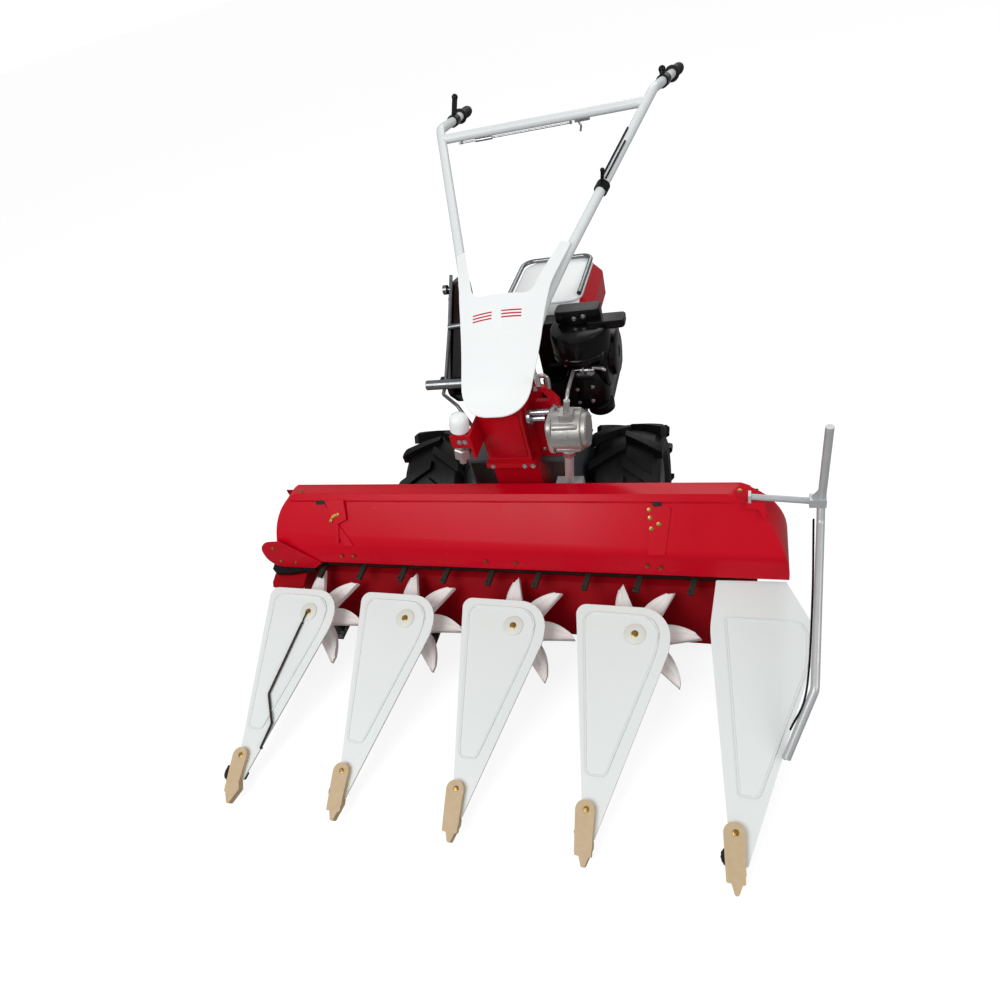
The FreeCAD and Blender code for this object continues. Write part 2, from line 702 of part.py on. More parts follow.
def hitch_arm(x):
    """Arm from the header's beam and rear wall back to the gearbox."""
    points = [
        (REAR_WALL_Y + SHEET, BEAM_LOW + 60), (REAR_WALL_Y + SHEET, 350), (CASE_FRONT_Y, 350),
        (CASE_FRONT_Y, 160), (CASE_FRONT_Y - 8, BEAM_LOW + 60),
    ]
    face = Part.Face(Part.makePolygon([Vector(x, y, z) for y, z in points + points[:1]]))
    return face.extrude(Vector(HITCH_THICK, 0, 0))


def on_hood(shape):
    """Place what is drawn flat, with the run along +Y, on the hood's upper slope."""
    depth = HOOD_TOP_FRONT_Y + 10 - HOOD_BEND_Y
    height = rail_underside(HOOD_TOP_FRONT_Y + 10) - HOOD_BEND_Z
    placed = shape.copy()
    placed.rotate(Vector(0, 0, 0), Vector(1, 0, 0), math.degrees(math.atan2(height, depth)))
    placed.translate(Vector(0, HOOD_BEND_Y, HOOD_BEND_Z))
    return placed


def hood_straps():
    """Two straps on the hood's slope: a wide upright one and a narrow slanting one."""
    right = [(398, 2, 3), (392, 118, 10), (452, 118, 10), (446, 74, 10), (436, 2, 3)]
    left = [(-423, 2, 3), (-512, 112, 3), (-486, 118, 3), (-397, 2, 3)]
    return [on_hood(plate(corners, STRAP_THICK)) for corners in (right, left)]


def rail_end(shape):
    """What is left of a shape outside the rail's skin."""
    return shape.cut(hood_body(SHEET, 0))


def guide_bracket():
    """Bar from the rail's left end to a sleeve, with the upright guide that it holds."""
    y = HOOD_TOP_FRONT_Y
    start = Vector(RAIL_RIGHT - 3, y, HOOD_TOP_FRONT_Z - 4)
    sleeve_start = Vector(GUIDE_X - 24, y, HOOD_TOP_FRONT_Z - 16)
    bar = rod(GUIDE_RADIUS - 1.5, start, sleeve_start)
    sleeve = block(sleeve_start.x, GUIDE_X + 10, y - 11, y + 11, sleeve_start.z - 11, sleeve_start.z + 11)
    upright = rod(GUIDE_RADIUS, Vector(GUIDE_X, y, sleeve_start.z - 11), Vector(GUIDE_X + 2, y, GUIDE_TOP))
    gusset = Part.Face(Part.makePolygon([
        Vector(GUIDE_X - 22, y - 2, sleeve_start.z + 8), Vector(GUIDE_X, y - 2, sleeve_start.z + 44),
        Vector(GUIDE_X, y - 2, sleeve_start.z + 8), Vector(GUIDE_X - 22, y - 2, sleeve_start.z + 8),
    ])).extrude(Vector(0, 4, 0))
    tab = block(RAIL_RIGHT - 6, RAIL_RIGHT, y - 9, y + 9, HOOD_TOP_FRONT_Z - 44, HOOD_TOP_FRONT_Z + 6)
    return fused(rail_end(tab), rail_end(bar), sleeve, upright, gusset)


def guide_rod():
    """Long guide that falls from the sleeve to the outer divider's edge."""
    y = HOOD_TOP_FRONT_Y
    top = Vector(GUIDE_X, y, HOOD_TOP_FRONT_Z - 27)
    points = [top, Vector(GUIDE_X, y - 22, HOOD_TOP_FRONT_Z - 60), Vector(744, 350, 224), slope_point(692, 272, 12)]
    foot_low = slope_point(690, 276, PLATE_THICK)
    foot = rod(GUIDE_RADIUS - 2, foot_low, slope_point(690, 276, 14))
    shape = fused(pipe(GUIDE_RADIUS, points, 24), foot)
    return shape.cut(outer_divider(divider_tips()[-1])).cut(guide_bracket())


def divider_wire(tip_x):
    """Bent wire that stands just above the end divider plate."""
    above = PLATE_THICK + PANEL_RAISE + WIRE_RADIUS
    points = [slope_point(tip_x + x, run, above) for x, run in WIRE_LINE]
    feet = [rod(WIRE_RADIUS, slope_point(tip_x + x, run, PLATE_THICK), slope_point(tip_x + x, run, above))
            for x, run in (WIRE_LINE[0], WIRE_LINE[-1])]
    wire = fused(pipe(WIRE_RADIUS, points, 14), *feet)
    return wire.cut(divider_plate(tip_x))


def header():
    tips = divider_tips()
    node("divider_plates", *[divider_plate(x) for x in tips[:-1]])
    for i, x in enumerate(tips[:-1]):
        node("star_wheel_%d" % (i + 1), star_wheel(x, STAR_PHASES[i]))
    node("outer_divider", outer_divider(tips[-1]))
    node("divider_noses", *[divider_nose(x, x == tips[0]) for x in tips])
    node("star_posts", *[star_post(x) for x in tips[:-1]])
    node("divider_arms", *[divider_arm(x, side) for x, side in zip(tips, SKID_DISC_SIDE)])
    node("header_deck", header_deck())
    node("header_ribs", *[header_rib(x) for x in RIB_PLACES])
    node("header_beam", header_beam())
    node("header_rear_wall", header_rear_wall())
    node("header_hood", header_hood())
    node("hood_plates", hood_lobe(), *hood_straps())
    node("header_rail", header_rail())
    node("guide_bracket", guide_bracket())
    node("guide_rod", guide_rod())
    node("divider_wire", divider_wire(tips[0]))
    node("conveyor_chain", conveyor_chain())
    node("chain_rail", chain_rail())
    node("chain_guard", chain_guard())
    node("cutter_bar", cutter_bar())
    node("knife", knife())
    node("skid_shoes", skid_shoe(-SKID_SHOE_X), skid_shoe(SKID_SHOE_X))
    node("hitch_arms", *[hitch_arm(TRACTOR_X + x) for x in (-HITCH_HALF, HITCH_HALF - HITCH_THICK)])


header()


# ---------------------------------------------------------------- wheels
def about_axle(points):
    """Revolve a section of (x, radius) points about the wheel axis."""
    face = Part.Face(Part.makePolygon([Vector(x, 0, r) for x, r in points + points[:1]]))
    solid = face.revolve(Vector(0, 0, 0), Vector(1, 0, 0), 360)
    solid.translate(Vector(0, AXLE_Y, TYRE_RADIUS))
    return solid


def lug(way):
    """One half of a chevron at the tyre's top, from the middle out to the shoulder."""
    half = TYRE_WIDTH / 2
    crest = LUG_SWEEP / 2
    points = [
        (-way * 3, crest - LUG_WIDTH / 2), (-way * 3, crest + LUG_WIDTH / 2), (way * (half - 12), -crest + LUG_WIDTH / 2),
        (way * half, -crest), (way * half, -crest - LUG_WIDTH / 2), (way * (half - 12), -crest - LUG_WIDTH / 2),
    ]
    low = TYRE_RADIUS - LUG_HEIGHT - 16
    face = Part.Face(Part.makePolygon([Vector(x, y, low) for x, y in points + points[:1]]))
    return face.extrude(Vector(0, 0, TYRE_RADIUS))


def tyre(middle_x):
    """Hollow carcass with chevron lugs whose tips reach the tyre's full radius."""
    half = TYRE_WIDTH / 2
    bead = RIM_RADIUS + CURVED_GAP
    crown = TYRE_RADIUS - LUG_HEIGHT
    section = [
        (-half + 22, bead), (-half + 8, bead + 18), (-half + 5, bead + 44), (-half + 10, crown - 14),
        (-half + 24, crown - 3), (-half + 60, crown), (half - 60, crown),
        (half - 24, crown - 3), (half - 10, crown - 14), (half - 5, bead + 44),
        (half - 8, bead + 18), (half - 22, bead), (half - 32, bead), (half - 16, bead + 40),
        (half - 28, crown - 20), (half - 60, crown - 14), (-half + 60, crown - 14),
        (-half + 28, crown - 20), (-half + 16, bead + 40), (-half + 32, bead),
    ]
    shape = about_axle(section)
    tips = about_axle([(-half, crown - 30), (half, crown - 30), (half, TYRE_RADIUS - 6), (half - 8, TYRE_RADIUS),
                       (8 - half, TYRE_RADIUS), (-half, TYRE_RADIUS - 6)])
    axle = Vector(0, AXLE_Y, TYRE_RADIUS)
    lugs = []
    for way, first in ((1, 0.0), (-1, 180.0 / LUG_COUNT)):
        one = lug(way)
        one.translate(axle)
        one = one.common(tips)
        for i in range(LUG_COUNT):
            copy = one.copy()
            copy.rotate(axle, Vector(1, 0, 0), first + 360.0 * i / LUG_COUNT)
            lugs.append(copy)
    shape = shape.fuse(lugs)
    shape.translate(Vector(middle_x, 0, 0))
    return shape


def wheel_rim(side):
    """Rim, dished disc, hub and half shaft, turning together."""
    middle = side * TRACK / 2
    wide = TYRE_WIDTH / 2 - 20
    inner = RIM_RADIUS - RIM_WALL
    barrel = about_axle([(-wide, RIM_RADIUS), (wide, RIM_RADIUS), (wide, inner), (-wide, inner)])
    barrel.translate(Vector(middle, 0, 0))
    disc_x = middle + side * 12
    dish = about_axle([
        (disc_x - 2, 0.0), (disc_x + 2, 0.0), (disc_x + 2, inner + 1), (disc_x - 2, inner + 1),
    ])
    axis_start = Vector(side * (HOUSING_END_X + SIDE_PLATE_THICK + 6), AXLE_Y, TYRE_RADIUS)
    axis_end = Vector(disc_x + side * 40, AXLE_Y, TYRE_RADIUS)
    hub = rod(HUB_RADIUS, axis_start, axis_end)
    shaft = rod(AXLE_RADIUS, Vector(side * (CASE_HALF + 20), AXLE_Y, TYRE_RADIUS), axis_end)
    return fused(barrel, dish, hub, shaft)


def axle_housing(side):
    """Tube on the gearbox's side, bored for the half shaft, with a bolted flange."""
    start = Vector(side * CASE_HALF, AXLE_Y, TYRE_RADIUS)
    end = Vector(side * HOUSING_END_X, AXLE_Y, TYRE_RADIUS)
    flange_end = Vector(side * (CASE_HALF + 12), AXLE_Y, TYRE_RADIUS)
    outer = fused(rod(HOUSING_RADIUS, start, end), rod(HOUSING_RADIUS + 17, start, flange_end))
    bore = rod(AXLE_RADIUS + RUNNING_FIT, Vector(side * (CASE_HALF + 20), AXLE_Y, TYRE_RADIUS), end)
    return outer.cut(bore)


def wheels():
    left_tyre = tyre(TRACK / 2)
    tractor_node("tyre_left", left_tyre)
    tractor_node("tyre_right", mirrored(left_tyre))
    tractor_node("wheel_left", wheel_rim(1))
    tractor_node("wheel_right", wheel_rim(-1))
    tractor_node("axle_housings", axle_housing(1), axle_housing(-1))


# ---------------------------------------------------------------- gearbox and its fittings
def gearbox_case():
    corners = [
        (CASE_FRONT_Y, CASE_LOW_Z, 30), (CASE_FRONT_Y, CASE_TOP_Z, 4), (CASE_REAR_Y - 85, CASE_TOP_Z, 20),
        (CASE_REAR_Y - 50, 540, 30), (CASE_REAR_Y, 440, 30), (CASE_REAR_Y, CASE_LOW_Z, 50),
    ]
    return side_plate(corners, -CASE_HALF, CASE_HALF)


def gearbox_front():
    """Front cover of the gearbox, with the header's flange along its foot."""
    corners = [
        (-FRONT_BOX_HALF, FRONT_BOX_LOW, 4), (-FRONT_BOX_HALF, CASE_TOP_Z, 14),
        (FRONT_BOX_HALF, CASE_TOP_Z, 14), (FRONT_BOX_HALF, FRONT_BOX_LOW, 4),
    ]
    body = front_plate(corners, FRONT_BOX_Y, CASE_FRONT_Y)
    wide = FRONT_BOX_HALF + 8
    flange = block(-wide, wide, FRONT_BOX_Y - 8, CASE_FRONT_Y, FRONT_BOX_LOW - 12, FRONT_BOX_LOW + 2)
    return fused(body, flange)


def frame_plate(side):
    """Shelf beside the gearbox with a hanging side plate inside the wheel."""
    outer = HOUSING_END_X + SIDE_PLATE_THICK
    rear = BED_REAR_Y if side > 0 else CASE_REAR_Y
    front = CASE_FRONT_Y + 25
    shelf = block(CASE_HALF, outer, front, rear, BED_Z - BED_THICK, BED_Z)
    corners = [
        (front, BED_Z, 5), (front, 300, 25), (AXLE_Y - 50, 130, 30),
        (AXLE_Y + 50, 130, 30), (CASE_REAR_Y + 40, 300, 25), (CASE_REAR_Y + 40, BED_Z, 5),
    ]
    wall = side_plate(corners, HOUSING_END_X, outer)
    hole = rod(AXLE_RADIUS + 6, Vector(HOUSING_END_X - 1, AXLE_Y, TYRE_RADIUS), Vector(outer + 1, AXLE_Y, TYRE_RADIUS))
    shape = fused(shelf, wall.cut(hole))
    return shape if side > 0 else mirrored(shape)


def pto_bracket():
    """Three-cornered web beside the gearbox, with windows, that carries the stub shaft."""
    outline = [(CASE_HALF, BED_Z, 3), (CASE_HALF, 657, 8), (106, 657, 22), (136, 616, 16), (134, 560, 30), (117, BED_Z, 3)]
    front, rear = WEB_Y
    web = front_plate(outline, front, rear)
    windows = [
        [(78, 616, 4), (78, 642, 8), (100, 642, 8), (118, 616, 4)],
        [(74, 500, 8), (74, 570, 8), (114, 570, 8), (100, 500, 8)],
    ]
    for corners in windows:
        web = web.cut(front_plate(corners, front - 1, rear + 1))
    return web


def pto_stub():
    """Flange on the gearbox's side with its two bright shafts."""
    y = 799
    flange = rod(21, Vector(CASE_HALF, y, 592), Vector(CASE_HALF + 8, y, 592))
    upper = rod(7, Vector(CASE_HALF, y, 603), Vector(119, y, 603))
    lower = rod(8, Vector(CASE_HALF, y, 585), Vector(102, y, 585))
    return fused(flange, upper, lower)


def drive_housing():
    """Cast angle drive: a drum across the machine with a cap, a boss and a neck."""
    centre_y = 728
    centre_z = 603
    drum = rod(45, Vector(135, centre_y, centre_z), Vector(209, centre_y, centre_z))
    cap = rod(38, Vector(209, centre_y, centre_z), Vector(221, centre_y, centre_z))
    boss = block(164, 194, centre_y - 22, centre_y + 9, centre_z + 27, centre_z + 56)
    neck_way = (SHAFT_LOW - SHAFT_TOP).normalize()
    neck = rod(18, SHAFT_TOP - neck_way * 45, SHAFT_TOP)
    foot = block(120, 150, centre_y + 8, WEB_Y[0], 568, 600)
    return fused(drum, cap, boss, neck, foot, drive_rod())


def drive_shaft():
    """Sloping tube from the angle drive down to the box behind the header."""
    tube = rod(11, SHAFT_TOP, SHAFT_LOW)
    x = SHAFT_LOW.x
    box = block(x - 34, x + 34, REAR_WALL_Y + SHEET, REAR_WALL_Y + 43, 322, SHAFT_LOW.z + 4)
    return fused(tube, box)


def drive_rod():
    """Selector rod that rises from the angle drive and turns back to the engine."""
    points = [Vector(180, 721, 659.5), Vector(190, 721, 706), DRIVE_ROD_END]
    sleeve = rod(7, points[0], points[0] + (points[1] - points[0]) * 0.62)
    return fused(pipe(4, points, 20), sleeve)


def filter_unit():
    """White bowl and its metal body on a bracket on the gearbox's right side."""
    y = 728
    way = (Vector(-81, y, 655) - Vector(-108, y, 515)).normalize()
    low = Vector(-108, y, 512)
    bracket = block(-108, -FRONT_BOX_HALF, y - 26, y - 20, 578, 614)
    boss = block(-100, -80, y - 20, y - 4, 582, 600)
    arm = block(-FRONT_BOX_HALF - 7, -FRONT_BOX_HALF, y - 26, FRONT_BOX_Y + 18, 546, 614)
    cup = rod(23, low + way * 105, low + way * 146)
    body = rod(19, low + way * 13, low + way * 52)
    neck = rod(11, low + way * 50, low + way * 107)
    cap = rod(10, low, low + way * 16)
    return fused(bracket, boss, arm), cup, fused(body, neck, cap)


def side_bar():
    """Bright bar across the machine, on a lug above the gearbox."""
    y = 832
    z = 674
    bar = rod(12, Vector(-190, y, z), Vector(-CASE_HALF + 4, y, z))
    lug = block(-CASE_HALF, -CASE_HALF + 18, y - 14, y + 14, CASE_TOP_Z, z - 4)
    return fused(bar, lug)


def clutch_lever():
    """Bright bent lever beside the belt cover, with its knob and its spacer to the tube."""
    x = -160
    points = [
        Vector(x, 1088, 832), Vector(x, 983, 737), Vector(x, 868, 650), Vector(x, 840, 640),
        Vector(-112, 800, 632), Vector(-CASE_HALF - 10, 760, 600), Vector(-FRONT_BOX_HALF - 4, 762, 590),
    ]
    pin = rod(4, Vector(x - 8, 1060, 808), Vector(x, 1060, 808))
    knob = rod(12, Vector(x - 18, 1060, 808), Vector(x - 8, 1060, 808))
    spacer = rod(7, Vector(x, 983, 744), Vector(-100, 983, 748))
    return fused(pipe(4.5, points, 9), pin, knob, spacer)


def gearbox():
    tractor_node("gearbox_case", fused(gearbox_case(), gearbox_front(), pto_bracket()))
    tractor_node("frame_plates", frame_plate(1), frame_plate(-1))
    tractor_node("pto_stub", pto_stub())
    tractor_node("drive_housing", drive_housing())
    tractor_node("drive_shaft", drive_shaft())
    bracket, cup, body = filter_unit()
    cup = cup.cut(body).cut(bracket)
    tractor_node("filter_bracket", bracket.cut(body))
    tractor_node("filter_cup", cup)
    tractor_node("filter_body", body)
    lever = clutch_lever().cut(handlebar()).cut(bracket)
    tractor_node("side_levers", side_bar(), lever.cut(belt_guard()))


# ---------------------------------------------------------------- engine
def crankcase():
    x0, x1 = CRANKCASE_X
    y0, y1 = CRANKCASE_Y
    corners = [(y0, BED_Z, 20), (y0, CRANKCASE_TOP, 60), (y1, CRANKCASE_TOP, 60), (y1, BED_Z, 20)]
    body = side_plate(corners, x0, x1)
    stand = block(x0 + 10, x1 - 80, y0 + 99, y1 - 40, CRANKCASE_TOP - 4, TANK_Z[0])
    shroud = block(x0 - 22, x1 - 10, y0 + 12, y0 + 57, CRANKCASE_TOP - 60, DRUM_Z[1] - 10)
    return fused(body, stand, shroud)


def cylinder():
    """Cylinder reaching forwards from the crankcase, with its head and cooling fins."""
    x0 = CRANKCASE_X[0]
    rear = CRANKCASE_Y[0]
    low = CRANKCASE_TOP - 115
    barrel = block(x0 + 12, x0 + 78, rear - 72, rear, low + 12, low + 80)
    head = block(x0 + 4, x0 + 86, rear - 88, rear - 70, low + 4, low + 88)
    fins = [block(x0, x0 + 90, rear - 66 + 9 * i, rear - 63 + 9 * i, low, low + 92) for i in range(7)]
    return fused(barrel, head, *fins)


def fan_housing():
    """Round housing of the fan and pull starter, on the engine's outer side."""
    x0, x1 = FAN_X
    drum = rod(FAN_RADIUS, Vector(x0, CRANK_Y, CRANK_Z), Vector(x1 - 18, CRANK_Y, CRANK_Z))
    face = rod(FAN_RADIUS - 30, Vector(x0, CRANK_Y, CRANK_Z), Vector(x1, CRANK_Y, CRANK_Z))
    shape = fused(drum, face)
    room = rod(DRUM_RADIUS + 2, Vector(DRUM_X, DRUM_Y, DRUM_Z[0] - 60), Vector(DRUM_X, DRUM_Y, DRUM_Z[1] + 9))
    return shape.cut(room)


def air_cleaner():
    low = Vector(DRUM_X, DRUM_Y, DRUM_Z[0])
    high = Vector(DRUM_X, DRUM_Y, DRUM_Z[1])
    drum = rod(DRUM_RADIUS, low, high)
    duct = rod(40, Vector(DRUM_X - 20, DRUM_Y + 5, DRUM_Z[0]), Vector(DRUM_X - 20, DRUM_Y + 5, CRANKCASE_TOP - 90))
    return fused(drum, duct).cut(crankcase()).cut(cylinder())


def air_shroud():
    """Flat cover and tray above the air cleaner."""
    top = DRUM_Z[1]
    cover = block(111, 222, 1002, 1044, top + 4, top + 35)
    stand = block(140, 190, 1008, 1036, top, top + 5)
    tray = block(190, 281, 985, 1028, top - 10, top + 10)
    return fused(cover, stand, tray)


def tank_outline(grow_x, grow_y):
    x0, x1 = TANK_X
    y0, y1 = TANK_Y
    return [
        (x0 - grow_x, y0 - grow_y, 34), (x0 - grow_x, y1 + grow_y, 44),
        (x1 + grow_x, y1 + grow_y, 44), (x1 + grow_x, y0 - grow_y, 34),
    ]


def tank_form(inset):
    """Tank with a narrow top, a sloping shoulder and upright sides, shrunk all round."""
    low = TANK_Z[0] + inset
    shoulder = TANK_Z[1] - TANK_SHOULDER
    high = TANK_Z[1] - inset
    wide = plate(tank_outline(TANK_FLARE - inset, TANK_FLARE / 3 - inset), shoulder - low)
    wide.translate(Vector(0, 0, low))
    rim = rounded_outline(tank_outline(TANK_FLARE - inset, TANK_FLARE / 3 - inset))
    rim.translate(Vector(0, 0, shoulder))
    top = rounded_outline(tank_outline(-inset, -inset))
    top.translate(Vector(0, 0, high))
    return fused(wide, Part.makeLoft([rim, top], True, True))


def fuel_tank():
    return tank_form(0).cut(tank_form(TANK_WALL))


def tank_top():
    top = plate(tank_outline(0, 0), TANK_TOP_THICK)
    top.translate(Vector(0, 0, TANK_Z[1]))
    return top


def tank_guard():
    """Bright tube that lies round the top of the tank."""
    z = TANK_Z[1] + TANK_TOP_THICK + GUARD_RADIUS
    x0 = TANK_X[0] - GUARD_RADIUS
    x1 = TANK_X[1] - GUARD_RADIUS
    y0 = TANK_Y[0] + 21
    y1 = TANK_Y[1] - 4
    points = [Vector(x0, y0, z), Vector(x0, y1, z), Vector(x1, y1, z), Vector(x1, y0, z)]
    tube = pipe(GUARD_RADIUS, points, 30)
    inward = TANK_X[0] + 10
    stay = rod(GUARD_RADIUS - 1, Vector(x0, y0 + 30, z), Vector(inward, y0 + 30, z))
    feet = [rod(GUARD_RADIUS - 1, Vector(x, y0 + 30, z - GUARD_RADIUS), Vector(x, y0 + 30, z)) for x in (inward, x1)]
    return fused(tube, stay, *feet)


def belt_guard():
    """Long flat cover over the drive on the right side."""
    x0, x1 = BELT_GUARD_X
    corners = [
        (868, 622, 30), (1080, 814, 30), (1180, 796, 40), (1160, 630, 60), (930, 545, 40),
    ]
    cover = side_plate(corners, x0, x1)
    boss = rod(16, Vector(x0 - 18, 900, 634), Vector(x0, 900, 634))
    stay = block(x1, -CASE_HALF, 905, 930, 590, 630)
    return fused(cover, boss, stay)


def engine():
    tractor_node("crankcase", crankcase())
    tractor_node("cylinder", cylinder())
    tractor_node("fan_housing", fan_housing())
    tractor_node("air_cleaner", fused(air_cleaner(), air_shroud()))
    tractor_node("fuel_tank", fuel_tank())
    tractor_node("tank_top", tank_top())
    tractor_node("tank_guard", tank_guard())
    tractor_node("belt_guard", belt_guard())


# ---------------------------------------------------------------- handlebar
def console_stay(foot_z):
    """Post on the handlebar's foot, trimmed to the console that rests on it."""
    y, z = CONSOLE_LINE[3]
    post = block(-25, 25, y - 14, y + 2, foot_z, z + 2 * CONSOLE_CROWN)
    return post.cut(console_form(4 * CONSOLE_CROWN))


def grip_end(side):
    return Vector(side * GRIP_END_HALF, GRIP_END_Y, GRIP_END_Z)


def handle_path(side):
    return [
        Vector(side * ARM_LOW_HALF, ARM_LOW_Y, ARM_LOW_Z), Vector(side * ARM_KNEE_HALF, ARM_KNEE_Y, ARM_KNEE_Z),
        Vector(side * ARM_MID_HALF, ARM_MID_Y, ARM_MID_Z),
        Vector(side * GRIP_HALF, GRIP_BEND_Y, GRIP_Z), grip_end(side),
    ]


def handlebar():
    """Two bent tubes joined by a crossbar, standing on a foot on the gearbox."""
    arms = [pipe(HANDLE_RADIUS, handle_path(side), HANDLE_BEND) for side in (1, -1)]
    cross = rod(HANDLE_RADIUS, arm_point(-1, CROSSBAR_SHARE), arm_point(1, CROSSBAR_SHARE))
    half = ARM_LOW_HALF + 4
    foot = block(-half, half, ARM_LOW_Y - 18, ARM_LOW_Y + 14, CASE_TOP_Z, ARM_LOW_Z + 2)
    return fused(arms[0], arms[1], cross, foot, console_stay(ARM_LOW_Z))


def grip(side):
    inside = grip_end(side)
    way = (inside - Vector(side * GRIP_HALF, GRIP_BEND_Y, GRIP_Z)).normalize()
    start = inside - way * GRIP_LENGTH
    bore = rod(HANDLE_RADIUS + CURVED_GAP, start, inside)
    return rod(GRIP_RADIUS, start, inside + way * 4).cut(bore)


def arm_point(side, share):
    """Point on the straight arm between its lower bend and its grip bend."""
    low = Vector(side * ARM_MID_HALF, ARM_MID_Y, ARM_MID_Z)
    high = Vector(side * GRIP_HALF, GRIP_BEND_Y, GRIP_Z)
    return low + (high - low) * share


def clamp_point(side, share):
    """Point on the bare straight tube between the grip bend and the grip."""
    bend = Vector(side * GRIP_HALF, GRIP_BEND_Y, GRIP_Z)
    bare = grip_end(side) - bend
    bare.Length = bare.Length - GRIP_LENGTH
    return bend + bare * share


def clamp(point, way, half_length, reach, lever_radius):
    """Split clamp round the tube with a lever that ends in a ball."""
    start = point - way * half_length
    end = point + way * half_length
    band = ring(CLAMP_RADIUS, HANDLE_RADIUS + CURVED_GAP, start, end)
    lever_tip = point + reach
    root = point + reach * ((CLAMP_RADIUS - 2) / reach.Length)
    lever = rod(lever_radius, root, lever_tip)
    ball = Part.makeSphere(lever_radius + 1.5, lever_tip)
    tube = rod(HANDLE_RADIUS + CURVED_GAP, start - way * 20, end + way * 20)
    return fused(band, lever, ball).cut(tube)


def lever_clamps():
    """Three hand levers: one at each grip and one part way up the left arm."""
    left_way = (grip_end(1) - arm_point(1, 1)).normalize()
    right_way = (grip_end(-1) - arm_point(-1, 1)).normalize()
    arm_way = (arm_point(1, 1) - arm_point(1, 0)).normalize()
    left = clamp(clamp_point(1, 0.525), left_way, 22, Vector(-3.7, 14.9, 25.3), HAND_LEVER_RADIUS)
    right = clamp(clamp_point(-1, 0.67), right_way, 21, Vector(7.5, 38.1, 56.1), HAND_LEVER_RADIUS)
    middle = clamp(arm_point(1, 0.39), arm_way, 11, Vector(6.6, 0.2, 42.6), LEVER_RADIUS)
    return left, right, middle


def control_rods():
    """Thin pull rods under the crossbar and on the left arm, as they are held."""
    left = arm_point(1, CROSSBAR_SHARE)
    right = arm_point(-1, CROSSBAR_SHARE)
    y = left.y
    bar_low = left.z - HANDLE_RADIUS
    z = bar_low - 5
    cross = rod(2.5, Vector(-250, y, z), Vector(92, y, z))
    buckle = rod(5, Vector(-197, y, z), Vector(-146, y, z))
    hangers = [block(x - 3, x + 3, y - 3, y + 3, z - 3, bar_low + 2) for x in (-240, 88)]
    bar = rod(HANDLE_RADIUS + CURVED_GAP, right, left)
    hook = pipe(3, [Vector(108, y, z + 4), Vector(116, y, z - 12), Vector(112, y, z - 26)], 5)
    lug = block(100, 142, y - 4, y + 4, z - 1, bar_low + 2)
    return fused(cross, buckle, *hangers).cut(bar), fused(lug, hook).cut(bar)


def arm_cables():
    """Two black cables laid along the left arm from the middle lever's clamp."""
    way = (arm_point(1, 1) - arm_point(1, 0)).normalize()
    across = Vector(0, -way.z, way.y).normalize()
    beside = way.cross(across)
    reach = HANDLE_RADIUS + CABLE_RADIUS + CURVED_GAP
    cables = []
    for turn, last in ((-22.0, 0.72), (22.0, 0.64)):
        angle = math.radians(turn)
        lift = across * (reach * math.cos(angle)) + beside * (reach * math.sin(angle))
        cables.append(rod(CABLE_RADIUS, arm_point(1, 0.42) + lift, arm_point(1, last) + lift))
    return cables


def console_form(thick):
    """Crowned form that follows the console's line from front to back."""
    rows = []
    for y, z in CONSOLE_LINE:
        crown = CONSOLE_CROWN * min(1.0, (y - CONSOLE_LINE[0][0] + 20) / 110)
        rows.append([Vector(CONSOLE_WIDE * u / 3, y, z + crown * (1 - (u / 3) ** 2)) for u in range(-3, 4)])
    sheet = Part.BSplineSurface()
    sheet.interpolate(rows)
    return sheet.toShape().extrude(Vector(0, 0, thick))


def console():
    """V-shaped crowned cover with a rounded foot, its two arms lying along the tubes."""
    front = CONSOLE_LINE[0][0] + 1
    rear = CONSOLE_LINE[-1][0] - 2
    outline = [
        (-79, front, 78), (-94, 850, 60), (-107, 950, 60), (-117, 1010, 40),
        (-150, rear, 4), (-126, rear, 4), (-74, NOTCH_Y, 30),
        (74, NOTCH_Y, 30), (126, rear, 4), (150, rear, 4),
        (117, 1010, 40), (107, 950, 60), (94, 850, 60), (79, front, 78),
    ]
    column = plate(outline, 400)
    column.translate(Vector(0, 0, 600))
    return column.common(console_form(SHEET))


def controls():
    tractor_node("handlebar", handlebar())
    tractor_node("grips", grip(1), grip(-1))
    tractor_node("lever_clamps", *lever_clamps())
    tractor_node("control_rods", *control_rods())
    tractor_node("arm_cables", *arm_cables())
    tractor_node("console", console())


wheels()
gearbox()
engine()
controls()


def finish():
    """Move every node so that the origin is the middle of the footprint, and save."""
    whole = Part.makeCompound(list(SHAPES.values())).optimalBoundingBox(False)
    shift = Vector(-(whole.XMin + whole.XMax) / 2, -(whole.YMin + whole.YMax) / 2, -whole.ZMin)
    os.makedirs("parts", exist_ok=True)
    for name, shape in SHAPES.items():
        placed = shape.copy()
        placed.translate(shift)
        placed.exportStep("parts/%s.step" % name)
    print("origin moved by", [round(v, 3) for v in shift])


finish()
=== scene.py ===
"""Walk-behind reaper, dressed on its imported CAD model.

Sizes in this file are millimetres on the maker's drawing: X = 0 is the middle of the cut,
Y = 0 the tips of the crop dividers, Z = 0 the ground. at() turns them into the row's metres.
The tractor's own middle plane stands TRACTOR mm to the operator's left of the header's.
"""
import json
import math

